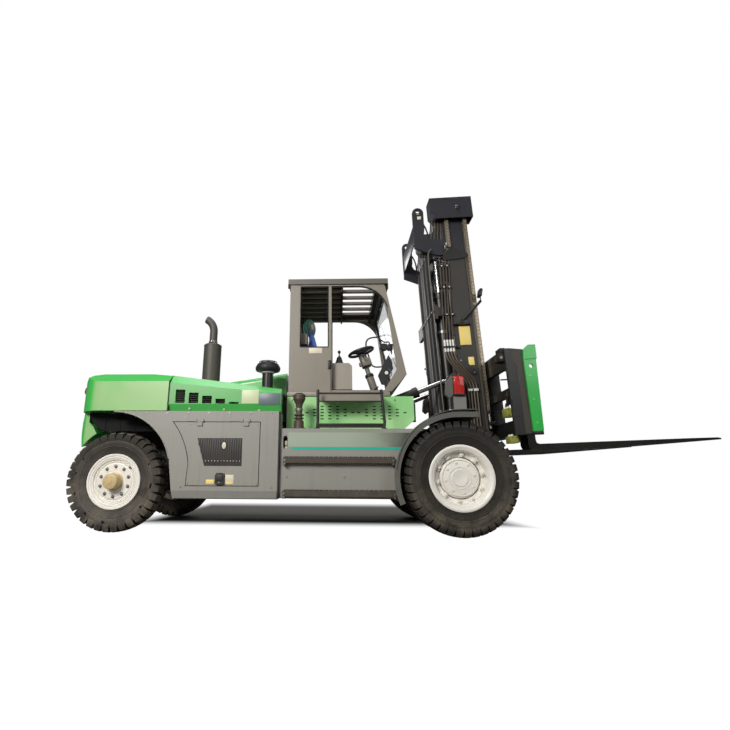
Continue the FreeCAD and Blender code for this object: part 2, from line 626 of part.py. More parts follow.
# ================================================================ steps, fenders
def step_bay():
    """Tank under the platform, its front end cut round the wheel arch."""
    body = box(STEP_BACK_X, STEP_FRONT_X, -BAY_FACE_Y, -BAY_INNER_Y, STEP_BOX_BOTTOM, PLATFORM_Z)
    arch = rod_y(0, FENDER_CENTRE_Z, FENDER_IN_R + FENDER_THICK + FIT_GAP, -SIDE_HALF - 50, -500)
    foothold = prism_xz(arc_points(-1990, 1085, 26, 0, 180, 8) + arc_points(-1990, 985, 26, 180, 360, 8),
                        -BAY_FACE_Y - 1, -BAY_FACE_Y + 90)
    return cut(body, [arch, foothold])


def steps():
    """Two treads on brackets along the face of the step bay."""
    parts = []
    for z, x1 in ((UPPER_STEP_Z, TREAD_FRONT_X - 10), (LOWER_STEP_Z, TREAD_FRONT_X)):
        x0 = STEP_BACK_X + 45
        tread = box(x0, x1, -TREAD_OUT_Y, -BAY_FACE_Y - FIT_GAP, z - TREAD_HEIGHT, z)
        under = box(x0 - 1, x1 + 1, -TREAD_OUT_Y + 6, -BAY_FACE_Y - 10, z - TREAD_HEIGHT - 1, z - 8)
        brackets = [box(x, x + 14, -TREAD_OUT_Y + 10, -BAY_FACE_Y - FIT_GAP, z - TREAD_HEIGHT - 24, z - 2)
                    for x in (x0 + 20, x1 - 34)]
        parts.append(fuse([cut(tread, [under])] + brackets))
    return Part.makeCompound(parts)


def front_fender():
    """Mudguard: an arc up the back of the tyres, then flat over their top."""
    z = FENDER_CENTRE_Z

    def band(inner, outer):
        out = arc_points(0, z, outer, FENDER_START, 90, 24)
        back = arc_points(0, z, inner, 90, FENDER_START, 24)
        return out + [(FENDER_TIP_X, z + outer), (FENDER_TIP_X, z + inner)] + back
    outer = FENDER_IN_R + FENDER_THICK
    skin = prism_xz(band(FENDER_IN_R, outer), -FRONT_TYRE_FACE - 12, -650)
    lip = prism_xz(band(FENDER_IN_R - 4, outer + 34), -FRONT_TYRE_FACE - 12, -FRONT_TYRE_FACE + 6)
    return fuse([skin, lip])


# ================================================================ hood
def hood_z(x):
    share = (x - SEAM_X) / (HOOD_END_X - SEAM_X)
    return HOOD_TOP_BACK + share * (HOOD_TOP_FRONT - HOOD_TOP_BACK)


HOOD_HINGE_X = -3024.0
HOOD_HINGE_Z = hood_z(HOOD_HINGE_X) - 6 + 14
HOOD_HINGE_YS = (-300.0, 300.0)


def loft_x(sections):
    wires = []
    for x, points in sections:
        wires.append(Part.makePolygon([V(x, y, z) for y, z in points]
                                      + [V(x, points[0][0], points[0][1])]))
    return Part.makeLoft(wires, True, True)


def hood_side():
    def section(x, shoulder):
        top = hood_z(x)
        return [(-HOOD_HALF + 50, HOOD_LOW), (-HOOD_HALF, HOOD_LOW + 90), (-HOOD_HALF, top - shoulder),
                (-HOOD_HALF + 100, top), (-HOOD_HALF + 150, top), (-HOOD_HALF + 150, BOX_TOP + FIT_GAP),
                (-HOOD_HALF + 90, BOX_TOP + FIT_GAP)]
    x0 = SEAM_X + 12
    panel = loft_x([(x0, section(x0, 110)), (HOOD_END_X, section(HOOD_END_X, 72))])
    vents = []
    for i in range(5):
        x = SEAM_X + 90 + i * 166
        z1 = 1672 - i * 38
        z0 = 1508 - i * 3
        vents.append(box(x, x + 118, -HOOD_HALF - 5, -HOOD_HALF + 90, z0, max(z1, z0 + 18)))
    return cut(panel, vents)


def hood_deck():
    half = HOOD_HALF - 150 - FIT_GAP

    def section(x):
        top = hood_z(x) - 6
        return [(-half, top - 26), (-half, top), (half, top), (half, top - 26)]
    deck = loft_x([(SEAM_X + 12, section(SEAM_X + 12)), (HOOD_END_X, section(HOOD_END_X))])
    hole = box(-2990, -2100, -425, 425, 1500, 2100)
    pipe = rod_z(-2280, -800, 70 + FIT_GAP, 1500, 2000)
    muffler_hole = rod_z(-3190, -230, 90 + FIT_GAP, 1500, 2100)
    walls = []
    for s in (-1, 1):
        y = sorted((s * (FRAME_HALF + 2), s * (FRAME_HALF + 22)))
        walls.append(prism_xz([(SEAM_X + 12, 1350), (HOOD_END_X, 1350), (HOOD_END_X, hood_z(HOOD_END_X) - 20),
                               (SEAM_X + 12, hood_z(SEAM_X + 12) - 20)], y[0], y[1]))
    hinges = []
    for y in HOOD_HINGE_YS:
        hinges.append(rod_y(HOOD_HINGE_X, HOOD_HINGE_Z, HINGE_PIN_R, y - 40, y + 40))
        for y0 in (y - 40, y + 31):
            hinges.append(box(HOOD_HINGE_X - 12, HOOD_HINGE_X + 9, y0, y0 + 9, HOOD_HINGE_Z - 20,
                              HOOD_HINGE_Z + 8))
    return fuse([cut(fuse([deck] + walls), [hole, pipe, muffler_hole])] + hinges)


def engine_hood():
    half = 452.0
    x0, x1 = -3010.0, -2075.0
    low0, low1 = hood_z(x0) - 6 + FIT_GAP, hood_z(x1) - 6 + FIT_GAP
    side = [(x0, low0), (x1, low1), (x1, 2032), (x0 + 60, 1890)]
    inner = [(x0 + 60, low0 - 30), (x1 - 25, low1 - 30), (x1 - 25, 2007), (x0 + 80, 1868)]
    shell = prism_xz(side, -half, half)
    top_edges = [e for e in shell.Edges
                 if abs(abs(e.Vertexes[0].Y) - half) < 1 and abs(abs(e.Vertexes[-1].Y) - half) < 1
                 and e.Vertexes[0].Y * e.Vertexes[-1].Y > 0 and e.BoundBox.ZMin > 1880]
    shell = shell.makeFillet(70, top_edges)
    hood = cut(shell, [prism_xz(inner, -half + 25, half - 25)])
    knuckles, bores = [], []
    for y in HOOD_HINGE_YS:
        knuckles.append(rod_y(HOOD_HINGE_X, HOOD_HINGE_Z, HINGE_PIN_R + 5, y - 28, y + 28))
        knuckles.append(box(HOOD_HINGE_X, x0 + 20, y - 28, y + 28, HOOD_HINGE_Z, HOOD_HINGE_Z + 9))
        bores.append(rod_y(HOOD_HINGE_X, HOOD_HINGE_Z, HINGE_PIN_R + PIN_PLAY, y - 29, y + 29))
    return cut(fuse([hood] + knuckles), bores)


def exhaust_stack():
    x, y = -3190.0, -230.0
    body = spun_z([(0, 1930), (112, 1930), (125, 1945), (125, 2475), (112, 2490), (0, 2490)], x, y)
    foot = rod_z(x, y, 90, 1700, 1935)
    path = Part.Wire([Part.LineSegment(V(x, y, 2480), V(x, y, 2700)).toShape(),
                      Part.Arc(V(x, y, 2700), V(x - 25, y, 2800), V(x - 110, y, 2885)).toShape()])
    ring = Part.Wire([Part.makeCircle(56, V(x, y, 2480), Z_AXIS)])
    pipe = path.makePipeShell([ring], True, True)
    bore_ring = Part.Wire([Part.makeCircle(50, V(x, y, 2480), Z_AXIS)])
    bore = path.makePipeShell([bore_ring], True, True)
    return cut(fuse([body, foot, pipe]), [bore.common(box(x - 300, x + 100, y - 100, y + 100, 2600, 3000))])


def precleaner():
    x, y = -2280.0, -800.0
    return spun_z([(0, 1560), (70, 1560), (70, 1955), (150, 1975), (158, 2010), (140, 2055),
                   (90, 2085), (30, 2095), (0, 2095)], x, y)


# ================================================================ centre body, cab
def centre_panel():
    """Green panel under the cab, from the hood to the front fender."""
    y1 = -CAB_HALF + 40
    y0 = y1 - 30
    low = PLATFORM_Z + FIT_GAP
    top = CAB_FLOOR_Z - CAB_FLOOR_THICK - FIT_GAP
    outline = [(-2030, low), (-590, low), (-502, 1255), (-402, 1345), (-402, top), (-2030, top)]
    panel = prism_xz(outline, y0, y1)
    slots = []
    for j, count in enumerate((3, 5, 7, 5, 3)):
        z = SLOT_ROW_Z + j * SLOT_ROW_RISE
        for group in SLOT_GROUPS:
            for i in range(count):
                x = group + (i - count // 2) * SLOT_PITCH
                slots.append(box(x - 20, x + 20, y0 - 1, y1 + 1, z - 7, z + 7))
    return cut(panel, slots)


def cab_outline():
    return [(CAB_BACK_X, CAB_FLOOR_Z), (CAB_TOE_X, CAB_FLOOR_Z), (NOSE_X, NOSE_Z),
            (ROOF_FRONT_X - 8, CAB_TOP), (CAB_BACK_X, CAB_TOP)]


def doorway_outline():
    corner = arc_points(-1085, 2772, 400, 90, 20, 10)
    return [(DOORWAY_BACK_X, CAB_FLOOR_Z + 18), (DOORWAY_BACK_X, DOORWAY_TOP)] + corner + \
           [(-598, 2010), (-770, CAB_FLOOR_Z + 18)]


def cab_side():
    wall = prism_xz(cab_outline(), -CAB_HALF, -CAB_HALF + CAB_WALL)
    door = prism_xz(doorway_outline(), -CAB_HALF - 1, -CAB_HALF + CAB_WALL + 1)
    window = box(-1870, DOORWAY_BACK_X - 45, -CAB_HALF - 1, -CAB_HALF + CAB_WALL + 1, 2312, DOORWAY_TOP)
    return cut(wall, [door, window])


def cab_rear_wall():
    half = CAB_HALF - CAB_WALL - 0.5
    wall = box(CAB_BACK_X, CAB_BACK_X + CAB_WALL, -half, half, CAB_FLOOR_Z, CAB_TOP)
    window = box(CAB_BACK_X - 1, CAB_BACK_X + CAB_WALL + 1, -half + 90, half - 90, 2330, 3060)
    return cut(wall, [window])


def front_slant(x_shift, z0, z1, y0, y1, thick):
    """A slab along the windshield slope between two heights."""
    def x_at(z):
        share = (z - NOSE_Z) / (CAB_TOP - NOSE_Z)
        return NOSE_X + share * (ROOF_FRONT_X - 8 - NOSE_X)
    return prism_xz([(x_at(z0) - x_shift, z0), (x_at(z1) - x_shift, z1),
                     (x_at(z1) - x_shift - thick, z1), (x_at(z0) - x_shift - thick, z0)], y0, y1)


def cab_front_frame():
    half = CAB_HALF - CAB_WALL - 0.5
    upper = front_slant(0, NOSE_Z, CAB_TOP, -half, half, CAB_WALL)
    lower = prism_xz([(CAB_TOE_X - 40, CAB_FLOOR_Z), (CAB_TOE_X, CAB_FLOOR_Z), (NOSE_X, NOSE_Z),
                      (NOSE_X - CAB_WALL, NOSE_Z)], -half, half)
    window = front_slant(-20, NOSE_Z + 110, CAB_TOP - 90, -half + 70, half - 70, CAB_WALL + 60)
    return cut(fuse([upper, lower]), [window])


def cab_floor():
    half = CAB_HALF - CAB_WALL - 0.5
    floor = box(CAB_BACK_X, CAB_TOE_X - 45, -CAB_HALF, CAB_HALF, CAB_FLOOR_Z - CAB_FLOOR_THICK,
                CAB_FLOOR_Z - 0.5)
    mat = box(CAB_BACK_X + CAB_WALL + 1, CAB_TOE_X - 60, -half, half, CAB_FLOOR_Z - 1, CAB_FLOOR_Z + 12)
    ledges = []
    for s in (-1, 1):
        y = sorted((s * (CAB_HALF - 2), s * LEDGE_OUT_Y))
        ledges.append(box(HANDRAIL_REAR_X - 6, HANDRAIL_FRONT_X + 40, y[0], y[1], LEDGE_TOP - 30, LEDGE_TOP))
        y = sorted((s * (LEDGE_OUT_Y - 14), s * LEDGE_OUT_Y))
        ledges.append(box(HANDRAIL_REAR_X - 6, HANDRAIL_FRONT_X + 40, y[0], y[1],
                          LEDGE_TOP - 115, LEDGE_TOP - 29))
    legs = []
    for s in (-1, 1):
        for x in (-1960, -1250, -820):
            y = sorted((s * 420, s * 500))
            legs.append(box(x, x + 100, y[0], y[1], FRAME_TOP, CAB_FLOOR_Z - CAB_FLOOR_THICK + 1))
    notches = []
    for s in (-1, 1):
        y = sorted((s * (TILT_CYL_Y - TILT_BARREL_R - 20), s * (TILT_CYL_Y + TILT_BARREL_R + 20)))
        notches.append(box(TILT_BASE_X + 20, CAB_TOE_X, y[0], y[1], 1500, 2000))
    return cut(fuse([floor, mat] + ledges + legs), notches)


def cab_roof():
    front = ROOF_FRONT_X + 40
    back = CAB_BACK_X - 30
    slab = box(back, front, -CAB_HALF - 10, CAB_HALF + 10, CAB_TOP + 0.5, CAB_TOP + ROOF_THICK)
    pocket = box(CAB_BACK_X + 80, front - 90, -CAB_HALF + 70, CAB_HALF - 70, CAB_TOP - 1, CAB_TOP + 30)
    slots = []
    for i in range(5):
        y = -570 + i * 236
        slots.append(box(-1290, -850, y, y + 190, CAB_TOP - 10, CAB_TOP + ROOF_THICK + 1))
    lip = box(front - 14, front, -CAB_HALF - 10, CAB_HALF + 10, CAB_TOP - 60, CAB_TOP + 2)
    return cut(fuse([slab, lip]), [pocket] + slots)


def windshield_glass():
    half = CAB_HALF - CAB_WALL - 0.5 - 70 - 0.5
    return front_slant(18, NOSE_Z + 110.5, CAB_TOP - 90.5, -half, half, GLASS_THICK)


def rear_glass():
    half = CAB_HALF - CAB_WALL - 0.5 - 90 - 0.5
    return box(CAB_BACK_X + 18, CAB_BACK_X + 18 + GLASS_THICK, -half, half, 2330.5, 3059.5)


def seat_base():
    floor = CAB_FLOOR_Z + 12
    return fuse([box(-1930, -1530, -210, 210, floor, floor + 60),
                 prism_xz([(-1880, floor + 50), (-1580, floor + 50), (-1540, floor + 250),
                           (-1920, floor + 250)], -180, 180),
                 box(-1950, -1500, -240, 240, floor + 245, floor + 275)])


def seat_cushion():
    z = CAB_FLOOR_Z + 12 + 275 + FIT_GAP
    return box(-1900, -1470, -245, 245, z, z + 120)


def seat_back():
    z = CAB_FLOOR_Z + 12 + 275 + FIT_GAP
    return prism_xz([(-1905 - 5, z), (-1905 - 5, z + 130), (-1965, z + 520), (-1880 - 5, z + 520),
                     (-1820, z + 130), (-1820, z + 121 + 5), (-1902, z + 121 + 5), (-1902, z)],
                    -235, 235)


STEER_BASE = (-792.0, 1724.0)
STEER_TOP = (-1022.0, 2440.0)
WHEEL_SHAFT_R = 12.0


def steering_column():
    (x0, z0), (x1, z1) = STEER_BASE, STEER_TOP
    length = math.hypot(x1 - x0, z1 - z0)
    ux, uz = (x1 - x0) / length, (z1 - z0) / length
    lower = rod_between((x0 + ux * 22, 0, z0 + uz * 22), (x0 + ux * 380, 0, z0 + uz * 380), 56)
    upper = rod_between((x0 + ux * 360, 0, z0 + uz * 360), (x1 - ux * 40, 0, z1 - uz * 40), 34)
    foot = box(x0 - 90, x0 + 62, -80, 80, CAB_FLOOR_Z + 12 + FIT_GAP, CAB_FLOOR_Z + 40)
    head = rod_between((x0 + ux * 520, 0, z0 + uz * 520), (x1 - ux * 60, 0, z1 - uz * 60), 62)
    bore = rod_between((x1 - ux * 130, 0, z1 - uz * 130), (x1 - ux * 30, 0, z1 - uz * 30),
                       WHEEL_SHAFT_R + PIN_PLAY)
    return cut(fuse([lower, upper, foot, head]), [bore])


def steering_wheel():
    (x0, z0), (x1, z1) = STEER_BASE, STEER_TOP
    axis = V(x1 - x0, 0, z1 - z0)
    axis.normalize()
    centre = V(x1, 0, z1)
    ring = Part.makeTorus(182, 15, centre, axis)
    hub = Part.makeCylinder(38, 50, centre - axis * 36, axis)
    across = axis.cross(Y_AXIS)
    spokes = []
    for a in (90, 210, 330):
        t = math.radians(a)
        tip = across * (182 * math.cos(t)) + Y_AXIS * (182 * math.sin(t))
        spokes.append(Part.makeCylinder(11, tip.Length, centre, tip))
    shaft = Part.makeCylinder(WHEEL_SHAFT_R, 90, centre - axis * 120, axis)
    return fuse([ring, hub, shaft] + spokes)


def control_console():
    floor = CAB_FLOOR_Z + 12 + FIT_GAP
    body = prism_xz([(-1440, floor), (-1180, floor), (-1180, 2076), (-1220, 2116), (-1440, 2116)],
                    -640, -470)
    lever = spun_z([(0, 2115), (9, 2115), (9, 2185), (20, 2195), (22, 2208), (14, 2222), (0, 2222)],
                   -1350, -555)
    return fuse([body, lever])


def handrails():
    """Two grab rails that stand on the platform, joined low down."""
    y = -HANDRAIL_Y
    parts = []
    for top_x, knee_x in ((HANDRAIL_REAR_X, HANDRAIL_REAR_X), (HANDRAIL_FRONT_X, HANDRAIL_FRONT_X + 32)):
        parts.append(rod_between((top_x, y, HANDRAIL_TOP), (knee_x, y, 1270), HANDRAIL_R))
        parts.append(rod_between((knee_x, y, 1275), (knee_x - 8, y, PLATFORM_Z + 4), HANDRAIL_R))
        parts.append(rod_z(knee_x - 8, y, 32, PLATFORM_Z + FIT_GAP, PLATFORM_Z + 10))
    parts.append(box(HANDRAIL_REAR_X, HANDRAIL_FRONT_X + 32, y - 12, y + 12, 1222, 1252))
    return fuse(parts)


def oil_filler():
    x, y = -1845.0, -1020.0
    return spun_z([(0, PLATFORM_Z + FIT_GAP), (62, PLATFORM_Z + FIT_GAP), (58, 1290), (40, 1310),
                   (36, 1455), (44, 1500), (74, 1560), (74, 1610), (60, 1622), (0, 1622)], x, y)


# ================================================================ mast
def channel(y_out, width, web, flange, x0, depth, z0, z1):
    """Rolled channel on the right-hand side, open towards the centre plane."""
    x1 = x0 + depth
    outline = [(x0, -y_out), (x1, -y_out), (x1, -y_out + width), (x1 - flange, -y_out + width),
               (x1 - flange, -y_out + web), (x0 + flange, -y_out + web),
               (x0 + flange, -y_out + width), (x0, -y_out + width)]
    return prism_xy(outline, z0, z1)


INNER_OUTER_Y = RAIL_OUTER_Y - OUTER_RAIL_WIDTH - MOVE_GAP
INNER_BACK = RAIL_BACK + 15
INNER_BOTTOM = INNER_BOTTOM_LOWERED + INNER_RAISED
INNER_TOP = HEAD_BOTTOM + 20
SHEAVE_Z = HEAD_BOTTOM + 145
ROLLER_R = RAIL_DEPTH / 2 - RAIL_FLANGE - ROLLER_CLEARANCE


def outer_mast():
    rail = channel(RAIL_OUTER_Y, OUTER_RAIL_WIDTH, OUTER_WEB, RAIL_FLANGE, RAIL_BACK, RAIL_DEPTH,
                   RAIL_BOTTOM, OUTER_RAIL_TOP)
    lug_y0, lug_y1 = -FOOT_SPAN[1], -FOOT_SPAN[0]
    foot = prism_xz([(RAIL_BACK + 1, 380), (MAST_PIVOT_X, MAST_PIVOT_Z - 75),
                     (MAST_PIVOT_X - 62, MAST_PIVOT_Z - 40), (MAST_PIVOT_X - 62, MAST_PIVOT_Z + 40),
                     (MAST_PIVOT_X, MAST_PIVOT_Z + 75), (RAIL_BACK + 1, 780)], lug_y0, lug_y1)
    eyes = []
    for y0, y1 in TILT_EAR_SPANS:
        eyes.append(prism_xz([(RAIL_BACK + 1, 1720), (TILT_EYE_UP[0], TILT_EYE_UP[1] - 48),
                              (TILT_EYE_UP[0] - 45, TILT_EYE_UP[1] - 20),
                              (TILT_EYE_UP[0] - 45, TILT_EYE_UP[1] + 20),
                              (TILT_EYE_UP[0], TILT_EYE_UP[1] + 48), (RAIL_BACK + 1, 2060)], -y1, -y0))
    eyes.append(rod_y(TILT_EYE_UP[0], TILT_EYE_UP[1], TILT_PIN_R, -TILT_EAR_SPANS[1][1],
                      -TILT_EAR_SPANS[0][0]))
    shelf_z = LIFT_BARREL_FOOT - FIT_GAP
    shelf = box(LIFT_CYL_X - 80, INNER_BACK - 47, -RAIL_OUTER_Y + 30, -LIFT_CYL_Y + 85, shelf_z - 40, shelf_z)
    gusset = box(LIFT_CYL_X - 40, RAIL_BACK + 1, -RAIL_OUTER_Y + 30, -RAIL_OUTER_Y + 90,
                 shelf_z - 120, shelf_z)
    cap = box(CHAIN_BACK_X + CHAIN_THICK / 2 + MOVE_GAP, RAIL_BACK + RAIL_DEPTH, -RAIL_OUTER_Y,
              -RAIL_OUTER_Y + OUTER_RAIL_WIDTH, OUTER_RAIL_TOP - 30, OUTER_RAIL_TOP)
    half = [rail, foot, shelf, gusset, cap] + eyes
    both = half + [mirrored(s) for s in half]
    y = RAIL_OUTER_Y - 20
    low_tie = box(LIFT_CYL_X - 80, RAIL_BACK - 30, -y, y, RAIL_BOTTOM, RAIL_BOTTOM + 40)
    ties = [box(60, 105, -y, y, 2760, 2960)]
    for s in (-1, 1):
        a = sorted((s * (y - 60), s * y))
        ties.append(box(LIFT_CYL_X, RAIL_BACK + 1, a[0], a[1], RAIL_BOTTOM, RAIL_BOTTOM + 40))
    for s in (-1, 1):
        a = sorted((s * (y - 40), s * y))
        ties.append(box(60, RAIL_BACK + 1, a[0], a[1], 2800, 2920))
    mid = box(60, 105, -y, y, 1180, 1380)
    for s in (-1, 1):
        a = sorted((s * (y - 40), s * y))
        ties.append(box(60, RAIL_BACK + 1, a[0], a[1], 1220, 1340))
    whole = fuse(both + [low_tie, mid] + ties)
    return cut(whole, [rod_y(MAST_PIVOT_X, MAST_PIVOT_Z, PIVOT_PIN_R + PIN_PLAY, -700, 700)])


def upright_of(x, z):
    """Where a point of the parked mast lies on the upright mast."""
    a = math.radians(MAST_TILT)
    dx, dz = x - MAST_PIVOT_X, z - MAST_PIVOT_Z
    return (MAST_PIVOT_X + dx * math.cos(a) + dz * math.sin(a),
            MAST_PIVOT_Z + dz * math.cos(a) - dx * math.sin(a))


TILT_EYE_UP = upright_of(TILT_EYE_X, TILT_EYE_Z)


def lift_barrels():
    right = rod_z(LIFT_CYL_X, -LIFT_CYL_Y, LIFT_BARREL_R, LIFT_BARREL_FOOT, LIFT_BARREL_TOP)
    collar = rod_z(LIFT_CYL_X, -LIFT_CYL_Y, LIFT_BARREL_R + 10, LIFT_BARREL_TOP - 70, LIFT_BARREL_TOP)
    bore = rod_z(LIFT_CYL_X, -LIFT_CYL_Y, LIFT_ROD_R + PIN_PLAY, 1300, LIFT_BARREL_TOP + 1)
    right = cut(fuse([right, collar]), [bore])
    return Part.makeCompound([right, mirrored(right)])


def inner_mast():
    rail = channel(INNER_OUTER_Y, INNER_RAIL_WIDTH, INNER_WEB, RAIL_FLANGE, INNER_BACK, RAIL_DEPTH,
                   INNER_BOTTOM, INNER_TOP)
    rollers = []
    for z in (INNER_BOTTOM + 140, INNER_BOTTOM + 640):
        rollers.append(rod_y(RAIL_BACK + RAIL_DEPTH / 2, z, ROLLER_R,
                             -RAIL_OUTER_Y + OUTER_WEB + MOVE_GAP, -INNER_OUTER_Y - MOVE_GAP))
        rollers.append(rod_y(RAIL_BACK + RAIL_DEPTH / 2, z, 40,
                             -INNER_OUTER_Y - MOVE_GAP - 1, -INNER_OUTER_Y + 1))
    head = prism_xz([(HEAD_BACK, HEAD_BOTTOM + HEAD_HEIGHT), (HEAD_BACK, HEAD_BOTTOM + 85),
                     (HEAD_BACK + 70, HEAD_BOTTOM), (HEAD_FRONT, HEAD_BOTTOM),
                     (HEAD_FRONT, HEAD_BOTTOM + HEAD_HEIGHT)], -RAIL_OUTER_Y - 2, -400)
    sheave_room = box(HEAD_BACK + 90, HEAD_FRONT - 12, -RAIL_OUTER_Y + 10, -470, HEAD_BOTTOM - 1,
                      HEAD_BOTTOM + HEAD_HEIGHT - 20)
    head = cut(head, [sheave_room])
    low = INNER_BEAM_Z
    arm = prism_xz([(-115, low + 122)] + arc_points(LUG_X, LUG_Z, LUG_R, 180, 0, 12)
                   + [(52, low + 400), (40, low + 340), (70, low + 280), (150, low + 245),
                      (INNER_BACK - 30, low + 235), (INNER_BACK - 30, low - 5), (222, low - 5),
                      (110, low + 23)], -535, -505)
    arm = cut(arm, [rod_y(LUG_X, LUG_Z + 8, 34, -600, -400)])
    beam = box(LIFT_CYL_X + 50, INNER_BACK + 1, -INNER_OUTER_Y + 2, -380, low, low + 160)
    outrigger = box(LIFT_CYL_X + 50, RAIL_BACK - MOVE_GAP, -535, -INNER_OUTER_Y + 3, low, low + 160)
    shelf = box(LIFT_CYL_X - 70, INNER_BACK + 1, -510, -350, low - 40, low + 1)
    half = [rail, head, arm, beam, outrigger, shelf] + rollers
    both = half + [mirrored(s) for s in half]
    ties = [box(LIFT_CYL_X + 60, INNER_BACK - 10, -400, 400, low, low + 160),
            box(INNER_BACK + 40, INNER_BACK + RAIL_DEPTH - 60, -410, 410, HEAD_BOTTOM + 60,
                HEAD_BOTTOM + 240),
            box(INNER_BACK - 12, INNER_BACK + 20, -INNER_OUTER_Y + 2, INNER_OUTER_Y - 2,
                INNER_BOTTOM + 30, INNER_BOTTOM + 170)]
    return fuse(both + ties)


def lift_rods():
    right = rod_z(LIFT_CYL_X, -LIFT_CYL_Y, LIFT_ROD_R, 1900, INNER_BEAM_Z - 40 - FIT_GAP)
    return Part.makeCompound([right, mirrored(right)])


def sheaves():
    r = (CHAIN_FRONT_X - CHAIN_BACK_X - CHAIN_THICK) / 2
    x = (CHAIN_FRONT_X + CHAIN_BACK_X) / 2
    z = SHEAVE_Z
    right = spun_y([(30, -570), (r + 14, -570), (r + 14, -562), (r, -562), (r, -508), (r + 14, -508),
                    (r + 14, -500), (30, -500)], x, z)
    axle = rod_y(x, z, 30 - FIT_GAP, -RAIL_OUTER_Y + 10 + FIT_GAP, -470 - FIT_GAP)
    return Part.makeCompound([right, axle, mirrored(right), mirrored(axle)])


def lift_chains():
    r = (CHAIN_FRONT_X - CHAIN_BACK_X) / 2
    z = SHEAVE_Z
    y0, y1 = -560, -560 + CHAIN_WIDTH
    parts = []
    front = box(CHAIN_FRONT_X - CHAIN_THICK / 2, CHAIN_FRONT_X + CHAIN_THICK / 2, y0, y1, 1500, z)
    over = prism_xz(arc_points((CHAIN_FRONT_X + CHAIN_BACK_X) / 2, z, r + CHAIN_THICK / 2, 0, 180, 20)
                    + arc_points((CHAIN_FRONT_X + CHAIN_BACK_X) / 2, z, r - CHAIN_THICK / 2 + 0.9,
                                 180, 0, 20), y0, y1)
    back = box(CHAIN_BACK_X - CHAIN_THICK / 2, CHAIN_BACK_X + CHAIN_THICK / 2, y0, y1,
               OUTER_RAIL_TOP - LIFT_STROKE - 20, z)
    right = fuse([front, over, back])
    return Part.makeCompound([right, mirrored(right)])


# ================================================================ carriage
def carriage_frame():
    roller_x = INNER_BACK + RAIL_DEPTH / 2
    arm = prism_xz([(roller_x - 90, CARRIAGE_BOTTOM + 20), (roller_x - 90, 1650), (roller_x - 40, 1900),
                    (roller_x + 180, CARRIAGE_TOP - 40), (BEAM_BACK + 80, CARRIAGE_TOP - 40),
                    (BEAM_BACK + 80, CARRIAGE_BOTTOM + 20)], -ARM_Y - ARM_THICK, -ARM_Y)
    window = prism_xz([(roller_x + 60, 1420), (roller_x + 60, 1720), (roller_x + 110, 1860),
                       (BEAM_BACK - 70, 1860), (BEAM_BACK - 70, 1420)], -ARM_Y - ARM_THICK - 1, -ARM_Y + 1)
    arm = cut(arm, [window])
    rollers = []
    for z in (CARRIAGE_BOTTOM + 120, 1800):
        rollers.append(rod_y(roller_x, z, ROLLER_R, -INNER_OUTER_Y + INNER_WEB + MOVE_GAP,
                             -ARM_Y - ARM_THICK + 1))
    upper = box(BEAM_BACK, BEAM_BACK + 62, -CARRIAGE_HALF, 0, 1900, CARRIAGE_TOP)
    lower = box(BEAM_BACK + 60, LOWER_BEAM_FRONT, -CARRIAGE_HALF, 0, CARRIAGE_BOTTOM,
                CARRIAGE_BOTTOM + 180)
    middle = box(BEAM_BACK + 10, BEAM_BACK + 70, -CARRIAGE_HALF, 0, 1560, 1660)
    cheek = prism_xz([(BEAM_BACK, CARRIAGE_BOTTOM), (LOWER_BEAM_FRONT, CARRIAGE_BOTTOM),
                      (LOWER_BEAM_FRONT, CARRIAGE_TOP - 20), (BEAM_BACK + 60, CARRIAGE_TOP),
                      (BEAM_BACK, CARRIAGE_TOP)], -CARRIAGE_HALF, -CARRIAGE_HALF + 36)
    mid_cheek = prism_xz([(BEAM_BACK + 60, CARRIAGE_BOTTOM + 100),
                          (LOWER_BEAM_FRONT - 10, CARRIAGE_BOTTOM + 100),
                          (LOWER_BEAM_FRONT - 10, CARRIAGE_TOP - 20), (BEAM_BACK + 60, CARRIAGE_TOP - 20)],
                         -ARM_Y - ARM_THICK, -ARM_Y)
    half = [arm, upper, lower, middle, cheek, mid_cheek] + rollers
    both = half + [mirrored(s) for s in half]
    shaft = rod_y(SHAFT_X, SHAFT_Z, SHAFT_R, -CARRIAGE_HALF, CARRIAGE_HALF)
    return fuse(both + [shaft])


def end_plates():
    x0 = LOWER_BEAM_FRONT - 24
    front = x0 + END_PLATE_WIDTH
    step_z = CARRIAGE_TOP - 158
    right = prism_xz([(x0, CARRIAGE_BOTTOM + 32), (front, CARRIAGE_BOTTOM + 32), (front + 34, step_z),
                      (front + 44, step_z + 6), (front + 50, CARRIAGE_TOP + 25),
                      (front + 50 - END_PLATE_TOP_WIDTH, CARRIAGE_TOP + 25),
                      (x0 + 20, CARRIAGE_TOP - 30), (x0 + 8, step_z)],
                     -CARRIAGE_HALF - END_PLATE_THICK - FIT_GAP, -CARRIAGE_HALF - FIT_GAP)
    hole = rod_y(x0 + 84, CARRIAGE_TOP - 235, 24, -2000, 0)
    right = cut(right, [hole])
    return Part.makeCompound([right, mirrored(right)])


